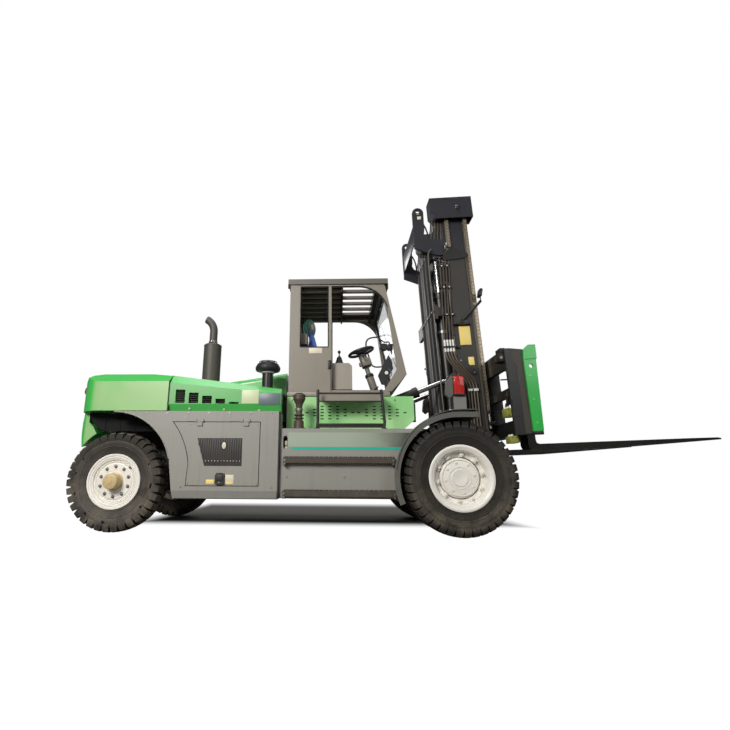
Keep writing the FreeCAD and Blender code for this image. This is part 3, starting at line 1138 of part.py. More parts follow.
def fork():
    """Right-hand fork: eye on the shaft, shank and tapered blade."""
    y0 = -FORK_Y - FORK_WIDTH / 2
    y1 = y0 + FORK_WIDTH
    x1 = FORK_FACE_X
    x0 = x1 - FORK_THICK
    tip = x1 + FORK_LENGTH
    top = FORK_BOTTOM + FORK_BLADE
    side = [(x0, FORK_BOTTOM + 70), (x0 + 20, FORK_BOTTOM + 20), (x0 + 70, FORK_BOTTOM),
            (x1 + 900, FORK_BOTTOM), (tip, top - 14 - FORK_TIP), (tip, top - 14),
            (tip - 60, top - 6), (x1 + 40, top), (x1 + 8, top + 12), (x1, top + 40),
            (x1, SHAFT_Z + 60), (x1 - 30, SHAFT_Z + 95), (x0, SHAFT_Z + 95)]
    blank = prism_xz(side, y0, y1)
    taper = prism_xy([(x0 - 300, y0), (tip - 420, y0), (tip - 60, y0 + 55), (tip, y0 + 85),
                      (tip, y1 - 85), (tip - 60, y1 - 55), (tip - 420, y1), (x0 - 300, y1)], 0, 3000)
    eye = rod_y(SHAFT_X, SHAFT_Z, FORK_EYE_R, y0 + 20, y1 - 20)
    web = box(SHAFT_X, x0 + 1, y0 + 20, y1 - 20, SHAFT_Z - FORK_EYE_R, SHAFT_Z + FORK_EYE_R)
    body = fuse([blank.common(taper), eye, web])
    return cut(body, [rod_y(SHAFT_X, SHAFT_Z, SHAFT_R + 0.08, y0 - 1, y1 + 1)])


# ================================================================ tilt cylinders
def tilt_direction():
    dx, dz = TILT_EYE_X - TILT_BASE_X, TILT_EYE_Z - TILT_BASE_Z
    length = math.hypot(dx, dz)
    return dx / length, dz / length, length


def along_tilt(distance, y):
    ux, uz, _ = tilt_direction()
    return (TILT_BASE_X + ux * distance, y, TILT_BASE_Z + uz * distance)


def tilt_barrel():
    y = -TILT_CYL_Y
    eye = rod_y(TILT_BASE_X, TILT_BASE_Z, 48, y - TILT_EYE_HALF, y + TILT_EYE_HALF)
    neck = rod_between(along_tilt(30, y), along_tilt(86, y), TILT_EYE_HALF)
    barrel = rod_between(along_tilt(82, y), along_tilt(TILT_BARREL_LENGTH, y), TILT_BARREL_R)
    gland = rod_between(along_tilt(TILT_BARREL_LENGTH - 60, y), along_tilt(TILT_BARREL_LENGTH, y),
                        TILT_BARREL_R + 8)
    bore = rod_between(along_tilt(TILT_BORE_START, y), along_tilt(TILT_BARREL_LENGTH + 1, y),
                       TILT_ROD_R + PIN_PLAY)
    return cut(fuse([eye, neck, barrel, gland]),
               [bore, rod_y(TILT_BASE_X, TILT_BASE_Z, TILT_PIN_R + PIN_PLAY, y - 60, y + 60)])


def tilt_rod():
    y = -TILT_CYL_Y
    _, _, length = tilt_direction()
    start = TILT_BARREL_LENGTH - TILT_ROD_INSIDE
    rod = rod_between(along_tilt(start, y), along_tilt(length - 78, y), TILT_ROD_R)
    neck = rod_between(along_tilt(length - 79, y), along_tilt(length - 38, y), TILT_EYE_HALF)
    eye = rod_y(TILT_EYE_X, TILT_EYE_Z, 46, y - TILT_EYE_HALF, y + TILT_EYE_HALF)
    hole = rod_y(TILT_EYE_X, TILT_EYE_Z, TILT_PIN_R + TILT_EYE_SLACK, y - 60, y + 60)
    return cut(fuse([rod, neck, eye]), [hole])


# ================================================================ assembly
add("chassis_frame", chassis_frame())
add("tail_frame", tail_frame())
add("counterweight", counterweight())
add("engine_and_gearbox", Part.makeCompound([engine_block(), transmission()]))
add("drive_axle", drive_axle())
add("steer_axle", steer_axle())
add_pair("steer_knuckle", steer_knuckle())
add_pair("front_tyres", front_tyres())
add_pair("front_rims", front_rims())
add_pair("rear_tyre", tyre(-WHEELBASE, REAR_TYRE_R, REAR_TYRE_R, REAR_RIM_SEAT_R, REAR_FLANGE_R,
                           REAR_TYRE_FACE, REAR_TYRE_WIDTH))
add_pair("rear_rim", rear_rim())
add_pair("side_box", side_box())
add_pair("access_door", access_door())
add_pair("step_bay", step_bay())
add("steps", both_sides(steps()))
add_pair("front_fender", front_fender())
add("hood_sides", both_sides(hood_side()))
add("hood_deck", hood_deck())
add("engine_hood", engine_hood())
add("exhaust_stack", exhaust_stack())
add("precleaner", precleaner())
add("centre_panels", both_sides(centre_panel()))
add_pair("cab_side", cab_side())
add("cab_rear_wall", cab_rear_wall())
add("cab_front_frame", cab_front_frame())
add("cab_floor", cab_floor())
add("cab_roof", cab_roof())
add("cab_glass", Part.makeCompound([windshield_glass(), rear_glass()]))
add("seat_base", seat_base())
add("seat_cushion", seat_cushion())
add("seat_back", seat_back())
add("steering_column", steering_column())
add("steering_wheel", steering_wheel())
add("control_console", control_console())
add("handrails", both_sides(handrails()))
add("oil_filler", oil_filler())
add("outer_mast", leaned(outer_mast()))
add("lift_barrels", leaned(lift_barrels()))
add("inner_mast", leaned(inner_mast()))
add("lift_rods", leaned(lift_rods()))
add("sheaves", leaned(sheaves()))
add("lift_chains", leaned(lift_chains()))
add("carriage_frame", leaned(carriage_frame()))
add("carriage_end_plates", leaned(end_plates()))
add("fork_right", leaned(fork()))
add("fork_left", leaned(mirrored(fork())))
add_pair("tilt_barrel", tilt_barrel())
add_pair("tilt_rod", tilt_rod())

tip_x = lean_point(FORK_FACE_X + FORK_LENGTH, FORK_BOTTOM + FORK_BLADE)[0]
FRONT_AXLE_X = (REAR_REACH - tip_x) / 2

os.makedirs("parts", exist_ok=True)
for name, shape in nodes.items():
    placed = shape.copy()
    placed.translate(V(FRONT_AXLE_X, 0, 0))
    placed.exportStep("parts/" + name + ".step")
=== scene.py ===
import math

import bmesh
import bpy
from mathutils import Matrix, Vector


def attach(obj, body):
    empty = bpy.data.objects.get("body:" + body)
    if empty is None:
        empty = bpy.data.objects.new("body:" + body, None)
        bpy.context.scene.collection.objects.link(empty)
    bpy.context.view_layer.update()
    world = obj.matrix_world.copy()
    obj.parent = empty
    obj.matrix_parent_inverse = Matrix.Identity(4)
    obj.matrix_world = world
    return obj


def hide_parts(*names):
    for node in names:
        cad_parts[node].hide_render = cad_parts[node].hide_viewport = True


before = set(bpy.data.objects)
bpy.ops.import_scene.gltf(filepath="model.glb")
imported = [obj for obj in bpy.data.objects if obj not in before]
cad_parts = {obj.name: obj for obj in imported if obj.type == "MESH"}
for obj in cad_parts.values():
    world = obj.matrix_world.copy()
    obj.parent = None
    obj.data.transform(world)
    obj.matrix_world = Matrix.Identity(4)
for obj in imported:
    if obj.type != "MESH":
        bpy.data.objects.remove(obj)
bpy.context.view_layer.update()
scene = bpy.context.scene

# ---------------------------------------------------------------- places in the truck (m)
AXLE_X = 0.70511               # front axle, from the middle of the overall length
REAR_AXLE = -4.0               # rear axle, from the front one
FRONT_R = 0.640
REAR_R = 0.576
SIDE = -1.200                  # face of the grey boxes on the right-hand side
CAB = -0.742                   # outer face of the cab on the right-hand side
RAIL = -0.612                  # outer face of the mast's outer rail on the right-hand side
HOSE_Y = -0.634                # line of the pipes along that rail
CHAIN_FRONT = 0.638
CHAIN_BACK = 0.375
SHEAVE_AT = 4.420
CHAIN_FOOT = 1.530
CHAIN_BACK_FOOT = 2.680
CHAIN_PITCH = 0.0508
LIFT_BARREL = (0.190, -0.425, 0)   # axis of the right-hand lift cylinder
TAU = 2 * math.pi
MAST_LEAN = math.radians(-2.5)
PIVOT = Vector((AXLE_X + 0.235, 0, 0.560))
LEAN = Matrix.Translation(PIVOT) @ Matrix.Rotation(MAST_LEAN, 4, "Y") @ Matrix.Translation(-PIVOT)
COLUMN_RUN, COLUMN_RISE = 0.230, 0.716   # lean of the steering column
COLUMN_WAY = Vector((-COLUMN_RUN, 0, COLUMN_RISE)).normalized()
WHITE = (1, 1, 1, 1)


def ahead(x, y, z):
    """A point measured from the front axle, in the truck's own frame."""
    return Vector((AXLE_X + x, y, z))


def spot(place):
    """A tuple is measured from the front axle, a Vector is already in the truck's frame."""
    return place if isinstance(place, Vector) else ahead(*place)


# ---------------------------------------------------------------- camera and lamps
def linked(name, data):
    thing = bpy.data.objects.new(name, data)
    scene.collection.objects.link(thing)
    return thing


def make_camera():
    data = bpy.data.cameras.new("camera")
    data.sensor_width, data.lens = 36.0, 21.8
    data.shift_x, data.shift_y = 0.0615, 0.003
    data.clip_end = 200.0
    yaw, pitch, roll = math.radians(2.2), math.radians(13.42), math.radians(0.33)
    turn = (Matrix.Rotation(yaw, 4, "Z") @ Matrix.Rotation(math.pi / 2 + pitch, 4, "X")
            @ Matrix.Rotation(roll, 4, "Z"))
    cam = linked("camera", data)
    cam.matrix_world = Matrix.Translation((-0.681, -6.38, 0.689)) @ turn
    scene.camera = cam


make_camera()


def soft_lamp(name, place, look_at, size, power, colour=(1, 1, 1)):
    data = bpy.data.lights.new(name, "AREA")
    data.shape = "RECTANGLE"
    data.size, data.size_y = size
    data.energy, data.color = power, colour
    aim = (Vector(look_at) - Vector(place)).to_track_quat("-Z", "Y").to_matrix().to_4x4()
    linked(name, data).matrix_world = Matrix.Translation(place) @ aim


soft_lamp("key_lamp", (-5.0, -9.0, 5.6), (-0.5, 0, 1.2), (3, 3), 820, (1.0, 0.975, 0.94))
soft_lamp("fill_lamp", (6.0, -9.0, 5.5), (0.5, 0, 1.5), (4, 4), 190)
soft_lamp("back_lamp", (-2.0, 9.0, 6.0), (-0.5, 0, 1.2), (5, 4), 240)
soft_lamp("top_lamp", (-1.5, -1.0, 9.5), (-0.5, 0, 1.0), (6, 4), 330)


# ---------------------------------------------------------------- shader nodes
def node(tree, kind, inputs=None, **settings):
    """A shader node with its settings; each input is either linked or set to a value."""
    made = tree.nodes.new("ShaderNode" + kind)
    for key, value in settings.items():
        setattr(made, key, value)
    for key, value in (inputs or {}).items():
        feed(tree, made.inputs[key], value)
    return made


def feed(tree, socket, value):
    if isinstance(value, bpy.types.NodeSocket):
        tree.links.new(value, socket)
    else:
        socket.default_value = value


def calc(tree, operation, first, second=None, clamp=False):
    values = {0: first} if second is None else {0: first, 1: second}
    return node(tree, "Math", values, operation=operation, use_clamp=clamp).outputs[0]


def object_point(tree):
    return node(tree, "TexCoord").outputs["Object"]


def axes(tree, vector):
    return node(tree, "SeparateXYZ", {0: vector}).outputs


def noise(tree, point, scale, detail, roughness=0.55):
    return node(tree, "TexNoise", {"Vector": point, "Scale": scale, "Detail": detail,
                                   "Roughness": roughness}).outputs["Fac"]


def smooth_step(tree, value, low, high):
    return node(tree, "MapRange", {"Value": value, "From Min": low, "From Max": high},
                interpolation_type="SMOOTHSTEP").outputs["Result"]


def mix_colour(tree, factor, first, second):
    first, second = [(*c, 1) if isinstance(c, tuple) else c for c in (first, second)]
    return node(tree, "Mix", {0: factor, 6: first, 7: second}, data_type="RGBA").outputs[2]


def mix_value(tree, factor, first, second):
    return node(tree, "Mix", {0: factor, 2: first, 3: second}, data_type="FLOAT").outputs[0]


def relief(tree, height, strength, distance):
    return node(tree, "Bump", {"Height": height, "Strength": strength, "Distance": distance}).outputs[0]


def use_group(tree, group, **values):
    return node(tree, "Group", values, node_tree=group).outputs


# ---------------------------------------------------------------- studio
def make_world():
    world = bpy.data.worlds.new("studio")
    scene.world = world
    world.use_nodes = True
    tree = world.node_tree
    tree.nodes.clear()
    soft = node(tree, "Background", {"Color": (0.93, 0.96, 1.0, 1), "Strength": 0.13}).outputs[0]
    seen = node(tree, "Background", {"Color": WHITE, "Strength": 1.0}).outputs[0]
    path = node(tree, "LightPath").outputs
    either = calc(tree, "MAXIMUM", path["Is Camera Ray"], path["Is Transmission Ray"])
    node(tree, "OutputWorld", {"Surface": node(tree, "MixShader", {0: either, 1: soft, 2: seen}).outputs[0]})
    scene.view_settings.view_transform = "Standard"


def make_floor():
    bm = bmesh.new()
    bmesh.ops.create_grid(bm, x_segments=1, y_segments=1, size=40)
    mesh = bpy.data.meshes.new("floor")
    bm.to_mesh(mesh)
    bm.free()
    floor = linked("floor", mesh)
    mat = bpy.data.materials.new("floor_with_painted_shadow")
    mat.use_nodes = True
    tree = mat.node_tree
    body = tree.nodes["Principled BSDF"]
    body.inputs["Base Color"].default_value = (0.17, 0.165, 0.155, 1)
    body.inputs["Roughness"].default_value = 0.95
    body.inputs["Specular IOR Level"].default_value = 0.1
    # inside a soft-edged box round the truck's shadow the paper stays dark grey, a painted shadow that
    # deepens the cast one; outside the box it is lifted to white as the camera sees it
    part = axes(tree, object_point(tree))
    beyond_painted_shadow = None
    for axis, edge, end in (("X", -3.25, -3.75), ("X", 1.50, 2.1), ("Y", 0.40, -0.35), ("Y", 3.0, 4.8)):
        side = smooth_step(tree, part[axis], edge, end)
        beyond_painted_shadow = side if beyond_painted_shadow is None else calc(tree, "MAXIMUM", beyond_painted_shadow, side)
    lift = calc(tree, "MULTIPLY", node(tree, "LightPath").outputs["Is Camera Ray"], beyond_painted_shadow)
    glow = node(tree, "Emission", {"Color": WHITE, "Strength": lift}).outputs[0]
    sum_of = node(tree, "AddShader", {0: body.outputs[0], 1: glow}).outputs[0]
    tree.links.new(sum_of, tree.nodes["Material Output"].inputs["Surface"])
    mesh.materials.append(mat)


make_world()
make_floor()


# ---------------------------------------------------------------- shared node groups
def new_group(name, inputs, outputs):
    tree = bpy.data.node_groups.new(name, "ShaderNodeTree")
    for label, value in inputs:
        socket = tree.interface.new_socket(name=label, in_out="INPUT", socket_type="NodeSocketFloat")
        socket.default_value = value
    for label in outputs:
        tree.interface.new_socket(name=label, in_out="OUTPUT", socket_type="NodeSocketFloat")
    return tree, tree.nodes.new("NodeGroupInput").outputs, tree.nodes.new("NodeGroupOutput").inputs


def build_grain():
    """Fine surface grain: a value around one half and its height for a bump."""
    tree, given, result = new_group("grain", [("Scale", 60.0)], ["Value", "Height"])
    point = object_point(tree)
    fine = noise(tree, point, given["Scale"], 5.0, 0.6)
    broad = noise(tree, point, 2.3, 3.0)
    blend = calc(tree, "ADD", calc(tree, "MULTIPLY", fine, 0.35), calc(tree, "MULTIPLY", broad, 0.65))
    feed(tree, result["Value"], blend)
    feed(tree, result["Height"], fine)
    return tree


def build_dust():
    """Dust that lies on what faces up and collects low down."""
    tree, given, result = new_group("dust", [("Amount", 0.3), ("Low", 0.2)], ["Mask"])
    point = object_point(tree)
    up = smooth_step(tree, axes(tree, node(tree, "NewGeometry").outputs["Normal"])["Z"], 0.45, 1.0)
    height = calc(tree, "SUBTRACT", 1.0, smooth_step(tree, axes(tree, point)["Z"], 0.15, 1.25))
    patch = smooth_step(tree, noise(tree, point, 5.5, 7.0, 0.65), 0.30, 0.72)
    fine = smooth_step(tree, noise(tree, point, 42.0, 4.0, 0.7), 0.25, 0.80)
    flecks = calc(tree, "MULTIPLY", patch, calc(tree, "ADD", calc(tree, "MULTIPLY", fine, 0.5), 0.5))
    lying = calc(tree, "MULTIPLY", up, given["Amount"])
    low = calc(tree, "MULTIPLY", height, given["Low"])
    feed(tree, result["Mask"], calc(tree, "MULTIPLY", calc(tree, "ADD", lying, low), flecks, clamp=True))
    return tree


def build_edge_wear():
    """Where an outer edge is rubbed, broken up by noise."""
    tree, given, result = new_group("edge_wear", [("Amount", 0.5)], ["Mask"])
    bevel = node(tree, "Bevel", {"Radius": 0.006}, samples=4).outputs["Normal"]
    flat = node(tree, "NewGeometry").outputs["Normal"]
    dot = node(tree, "VectorMath", {0: bevel, 1: flat}, operation="DOT_PRODUCT").outputs["Value"]
    edge = smooth_step(tree, calc(tree, "SUBTRACT", 1.0, dot), 0.015, 0.12)
    broken = smooth_step(tree, noise(tree, object_point(tree), 34.0, 6.0, 0.7), 0.42, 0.68)
    mask = calc(tree, "MULTIPLY", calc(tree, "MULTIPLY", edge, broken), given["Amount"], clamp=True)
    feed(tree, result["Mask"], mask)
    return tree


def build_streaks():
    """Faint runs down the sides, left by rain."""
    tree, given, result = new_group("streaks", [("Amount", 0.3)], ["Mask"])
    stretch = node(tree, "Mapping", {"Vector": object_point(tree), "Scale": (14.0, 14.0, 0.7)}).outputs[0]
    runs = smooth_step(tree, noise(tree, stretch, 1.6, 5.0, 0.6), 0.50, 0.78)
    feed(tree, result["Mask"], calc(tree, "MULTIPLY", runs, given["Amount"]))
    return tree


GRAIN, DUST, EDGE_WEAR, STREAKS = build_grain(), build_dust(), build_edge_wear(), build_streaks()


# ---------------------------------------------------------------- materials
PAINTS = {}
DUST_COLOUR = (0.30, 0.26, 0.20)


def new_paint(name):
    mat = bpy.data.materials.new(name)
    mat.use_nodes = True
    PAINTS[name] = mat
    return mat.node_tree, mat.node_tree.nodes["Principled BSDF"].inputs


def shaded(colour, factor):
    return tuple(min(1.0, c * factor) for c in colour)


def finish(name, colour, rough, grain_scale, bump, shift, wear, worn, dust, low_dust, metallic=0.0,
           streaks=0.0, coat=0.0, dust_colour=DUST_COLOUR):
    """A painted, cast or moulded surface with grain, wear on its edges, runs and dust."""
    tree, body = new_paint(name)
    grain = use_group(tree, GRAIN, Scale=grain_scale)
    base = mix_colour(tree, grain["Value"], tuple(c * (1 - shift) for c in colour), shaded(colour, 1 + shift))
    if streaks:
        base = mix_colour(tree, use_group(tree, STREAKS, Amount=streaks)["Mask"], base, shaded(colour, 0.62))
    base = mix_colour(tree, use_group(tree, EDGE_WEAR, Amount=wear)["Mask"], base, worn)
    dirt = use_group(tree, DUST, Amount=dust, Low=low_dust)["Mask"]
    feed(tree, body["Base Color"], mix_colour(tree, dirt, base, dust_colour))
    sheen = mix_value(tree, grain["Value"], max(0.05, rough - 0.07), min(1.0, rough + 0.07))
    feed(tree, body["Roughness"], mix_value(tree, dirt, sheen, 0.9))
    feed(tree, body["Metallic"], metallic)
    feed(tree, body["Coat Weight"], coat)
    feed(tree, body["Coat Roughness"], 0.12)
    feed(tree, body["Normal"], relief(tree, grain["Height"], bump, 0.0015))
    return tree, body


def green_with_painted_sheen(name, colour, sheen_colour):
    """Green paint made paler where it faces the side: a painted sheen, the pale reflection of the light on
    the flat sides, broken up in clouds.
    """
    tree, body = finish(name, colour, 0.30, *GREEN_FINISH)
    plain_green = body["Base Color"].links[0].from_socket
    facing = axes(tree, node(tree, "NewGeometry").outputs["Normal"])["Y"]
    side = smooth_step(tree, calc(tree, "ABSOLUTE", facing), 0.90, 0.995)
    cloud = smooth_step(tree, noise(tree, object_point(tree), 1.6, 2.0), 0.30, 0.62)
    amount = calc(tree, "MULTIPLY", side, calc(tree, "ADD", calc(tree, "MULTIPLY", cloud, 0.35), 0.60))
    feed(tree, body["Base Color"], mix_colour(tree, amount, plain_green, sheen_colour))


def graded_stripe(name, dark, pale, x_dark, x_pale):
    """A printed band whose colour goes from dark to pale along the truck, under the same grain and dust."""
    tree, body = finish(name, dark, 0.42, 40, 0.05, 0.12, 0.3, (0.2, 0.2, 0.19), 0.3, 0.25)
    old = body["Base Color"].links[0].from_socket
    cloud = noise(tree, object_point(tree), 2.2, 3.0)
    place = calc(tree, "ADD", axes(tree, object_point(tree))["X"], calc(tree, "MULTIPLY", cloud, 0.45))
    feed(tree, body["Base Color"], mix_colour(tree, smooth_step(tree, place, x_dark, x_pale), old, pale))


def tinted_glass(name, colour, rough, alpha):
    tree, body = new_paint(name)
    grain = use_group(tree, GRAIN, Scale=9.0)["Value"]
    feed(tree, body["Base Color"], mix_colour(tree, grain, shaded(colour, 0.9), colour))
    for label, value in (("Roughness", rough), ("IOR", 1.45), ("Alpha", alpha)):
        feed(tree, body[label], value)


def lens(name, colour):
    """Ribbed moulded lamp lens."""
    tree, body = new_paint(name)
    ribs = calc(tree, "SINE", calc(tree, "MULTIPLY", axes(tree, object_point(tree))["Z"], 700.0))
    # the ribs' troughs are painted darker: painted shade between the ribs
    rib_shade = calc(tree, "ADD", calc(tree, "MULTIPLY", ribs, 0.5), 0.5)
    feed(tree, body["Base Color"], mix_colour(tree, rib_shade, shaded(colour, 0.7), colour))
    for label, value in (("Roughness", 0.12), ("Coat Weight", 0.6), ("Coat Roughness", 0.05)):
        feed(tree, body[label], value)
    feed(tree, body["Normal"], relief(tree, ribs, 0.5, 0.002))


# grain scale, bump, colour shift, wear, worn colour, dust, low dust, metallic, streaks, coat
GREEN_FINISH = (22, 0.05, 0.06, 0.20, (0.16, 0.20, 0.14), 0.18, 0.10, 0.0, 0.16, 0.35)
# the second colour is the painted pale sheen on each green's side-facing faces
green_with_painted_sheen("weight_green", (0.055, 0.52, 0.085), (0.36, 0.58, 0.26))
green_with_painted_sheen("hood_green", (0.060, 0.47, 0.085), (0.15, 0.43, 0.14))
green_with_painted_sheen("panel_green", (0.070, 0.53, 0.100), (0.42, 0.76, 0.34))
# name, colour, roughness, then as above
for row in (
        ("green_paint", (0.085, 0.6, 0.115), 0.3, 22, 0.05, 0.06, 0.2, (0.16, 0.2, 0.14), 0.2, 0.1, 0.0,
         0.16, 0.35),
        ("plate_green", (0.02, 0.44, 0.06), 0.32, 22, 0.05, 0.06, 0.25, (0.1, 0.14, 0.09), 0.12, 0.1, 0.0,
         0.16, 0.3),
        ("grey_paint", (0.3, 0.295, 0.265), 0.42, 40, 0.08, 0.1, 0.35, (0.13, 0.12, 0.11), 0.35, 0.35, 0.0,
         0.28),
        ("taupe_paint", (0.25, 0.223, 0.184), 0.45, 48, 0.08, 0.12, 0.3, (0.2, 0.19, 0.17), 0.3, 0.2, 0.0,
         0.15),
        ("black_paint", (0.014, 0.014, 0.013), 0.38, 55, 0.12, 0.25, 0.45, (0.1, 0.1, 0.095), 0.35, 0.3),
        ("frame_paint", (0.022, 0.021, 0.019), 0.5, 35, 0.2, 0.25, 0.4, (0.1, 0.09, 0.08), 0.5, 0.5),
        ("mast_paint", (0.036, 0.033, 0.028), 0.5, 45, 0.12, 0.3, 0.5, (0.13, 0.12, 0.11), 0.3, 0.25, 0.0,
         0.3),
        ("rim_paint", (0.9, 0.87, 0.8), 0.36, 30, 0.08, 0.06, 0.4, (0.45, 0.41, 0.34), 0.14, 0.2, 0.0, 0.1),
        ("fork_steel", (0.016, 0.016, 0.015), 0.33, 28, 0.25, 0.3, 0.8, (0.32, 0.31, 0.29), 0.25, 0.2, 0.35),
        ("bright_steel", (0.62, 0.62, 0.6), 0.22, 90, 0.06, 0.08, 0.2, (0.75, 0.75, 0.74), 0.12, 0.1, 1.0),
        ("dull_steel", (0.3, 0.29, 0.27), 0.42, 70, 0.15, 0.2, 0.4, (0.55, 0.54, 0.52), 0.3, 0.2, 0.9),
        ("chain_steel", (0.3, 0.25, 0.18), 0.38, 120, 0.2, 0.3, 0.7, (0.5, 0.48, 0.44), 0.25, 0.1, 0.85),
        ("black_plastic", (0.013, 0.013, 0.014), 0.52, 240, 0.22, 0.2, 0.15, (0.06, 0.06, 0.06), 0.4, 0.25),
        ("black_rubber", (0.012, 0.012, 0.012), 0.68, 160, 0.25, 0.2, 0.1, (0.05, 0.05, 0.05), 0.5, 0.35),
        ("front_rubber", (0.013, 0.011, 0.009), 0.8, 110, 0.35, 0.25, 0.35, (0.1, 0.085, 0.065), 0.35, 0.45,
         0.0, 0.0, 0.0, (0.12, 0.095, 0.065)),
        ("front_tread", (0.01, 0.009, 0.007), 0.85, 90, 0.45, 0.3, 0.6, (0.12, 0.1, 0.075), 0.35, 0.55, 0.0,
         0.0, 0.0, (0.12, 0.095, 0.065)),
        ("rear_rubber", (0.026, 0.022, 0.018), 0.6, 110, 0.35, 0.25, 0.4, (0.22, 0.19, 0.15), 0.6, 0.5, 0.0,
         0.0, 0.0, (0.26, 0.22, 0.165)),
        ("rear_tread", (0.024, 0.021, 0.017), 0.85, 90, 0.45, 0.3, 0.6, (0.28, 0.24, 0.19), 0.8, 0.5, 0.0,
         0.0, 0.0, (0.4, 0.34, 0.26)),
        ("front_wall", (0.017, 0.0145, 0.012), 0.55, 110, 0.35, 0.25, 0.45, (0.16, 0.13, 0.1), 0.45, 0.7,
         0.0, 0.0, 0.0, (0.2, 0.16, 0.11)),
        ("rear_wall", (0.032, 0.027, 0.021), 0.52, 110, 0.35, 0.2, 0.4, (0.28, 0.24, 0.19), 0.6, 0.5, 0.0,
         0.0, 0.0, (0.3, 0.25, 0.19)),
        ("shade_grey", (0.21, 0.21, 0.195), 0.45, 40, 0.08, 0.1, 0.35, (0.08, 0.075, 0.07), 0.35, 0.3, 0.0,
         0.2),
        ("blue_black", (0.03, 0.03, 0.038), 0.3, 45, 0.1, 0.2, 0.5, (0.16, 0.16, 0.17), 0.25, 0.2),
        ("warm_grey", (0.33, 0.3, 0.25), 0.48, 40, 0.08, 0.08, 0.3, (0.16, 0.14, 0.12), 0.3, 0.2, 0.0, 0.15),
        ("fan_teal", (0.05, 0.66, 0.5), 0.35, 60, 0.05, 0.08, 0.2, (0.2, 0.4, 0.33), 0.2, 0.0),
        ("fan_blue", (0.05, 0.17, 0.66), 0.35, 60, 0.05, 0.08, 0.2, (0.2, 0.25, 0.4), 0.2, 0.0),
        ("valve_green", (0.31, 0.32, 0.06), 0.42, 60, 0.1, 0.1, 0.4, (0.3, 0.32, 0.2), 0.3, 0.2),
        ("hose_grey", (0.075, 0.09, 0.115), 0.5, 160, 0.2, 0.15, 0.2, (0.25, 0.25, 0.26), 0.3, 0.2),
        ("warm_strip", (0.105, 0.086, 0.066), 0.4, 45, 0.12, 0.3, 0.5, (0.25, 0.21, 0.16), 0.3, 0.25, 0.3,
         0.4),
        ("chain_pin", (0.46, 0.4, 0.31), 0.35, 120, 0.1, 0.2, 0.5, (0.6, 0.55, 0.48), 0.2, 0.1, 0.8),
        ("pipe_steel", (0.16, 0.135, 0.105), 0.36, 60, 0.1, 0.25, 0.4, (0.35, 0.31, 0.26), 0.25, 0.1, 0.7,
         0.5),
        ("hose_brown", (0.075, 0.056, 0.038), 0.42, 160, 0.15, 0.2, 0.3, (0.16, 0.13, 0.1), 0.3, 0.1),
        ("beam_brown", (0.048, 0.04, 0.031), 0.48, 45, 0.12, 0.3, 0.5, (0.15, 0.13, 0.1), 0.35, 0.25, 0.0,
         0.4),
        ("fender_grey", (0.105, 0.105, 0.092), 0.45, 40, 0.1, 0.12, 0.4, (0.25, 0.25, 0.23), 0.35, 0.3, 0.0,
         0.2),
        ("dark_nut", (0.3, 0.3, 0.27), 0.45, 80, 0.15, 0.2, 0.4, (0.25, 0.24, 0.22), 0.3, 0.2, 0.6),
        ("hub_cap_paint", (0.6, 0.46, 0.23), 0.4, 50, 0.1, 0.1, 0.4, (0.45, 0.36, 0.22), 0.3, 0.2),
        ("exhaust_paint", (0.085, 0.078, 0.068), 0.55, 40, 0.3, 0.35, 0.5, (0.2, 0.15, 0.1), 0.3, 0.1, 0.3,
         0.4),
        ("engine_paint", (0.05, 0.05, 0.048), 0.5, 20, 0.35, 0.35, 0.4, (0.16, 0.15, 0.14), 0.5, 0.4, 0.2),
        ("yellow_plate", (0.95, 0.72, 0.22), 0.4, 60, 0.05, 0.08, 0.3, (0.45, 0.3, 0.05), 0.2, 0.1),
        ("cream_plate", (0.72, 0.66, 0.5), 0.45, 60, 0.05, 0.06, 0.2, (0.4, 0.37, 0.3), 0.2, 0.1),
        ("teal_stripe", (0.02, 0.47, 0.33), 0.4, 60, 0.05, 0.1, 0.2, (0.2, 0.3, 0.28), 0.2, 0.1),
        ("white_paint", (0.78, 0.77, 0.73), 0.4, 60, 0.05, 0.05, 0.2, (0.4, 0.38, 0.35), 0.3, 0.1),
        ("seat_cloth", (0.02, 0.021, 0.023), 0.9, 420, 0.5, 0.25, 0.0, (0.3, 0.3, 0.29), 0.2, 0.0),
        ("floor_mat", (0.018, 0.018, 0.018), 0.75, 200, 0.5, 0.2, 0.1, (0.3, 0.3, 0.29), 0.6, 0.0),
        ("sticker_cream", (0.62, 0.68, 0.42), 0.45, 60, 0.03, 0.05, 0.2, (0.3, 0.5, 0.25), 0.2, 0.1),
        ("deep_black", (0.005, 0.005, 0.005), 0.9, 60, 0.05, 0.1, 0.0, (0.3, 0.3, 0.29), 0.05, 0.05),
        ("roof_taupe", (0.135, 0.122, 0.102), 0.45, 48, 0.08, 0.12, 0.3, (0.16, 0.15, 0.13), 0.3, 0.2, 0.0,
         0.15),
        ("step_brown", (0.07, 0.056, 0.042), 0.5, 70, 0.3, 0.3, 0.8, (0.26, 0.22, 0.17), 0.4, 0.3, 0.2),
        ("filler_brown", (0.085, 0.066, 0.048), 0.5, 60, 0.2, 0.3, 0.5, (0.25, 0.21, 0.16), 0.4, 0.1, 0.2,
         0.3),
        ("slate_plate", (0.125, 0.165, 0.185), 0.4, 60, 0.03, 0.08, 0.2, (0.3, 0.33, 0.33), 0.2, 0.1)):
    finish(*row)
graded_stripe("fading_band", (0.022, 0.019, 0.016), (0.36, 0.42, 0.33), 0.62, -0.35)
tinted_glass("cab_tint", (0.50, 0.62, 0.68), 0.06, 0.30)
tinted_glass("clear_glass", (0.85, 0.88, 0.88), 0.08, 0.75)
lens("red_lens", (0.60, 0.02, 0.015))

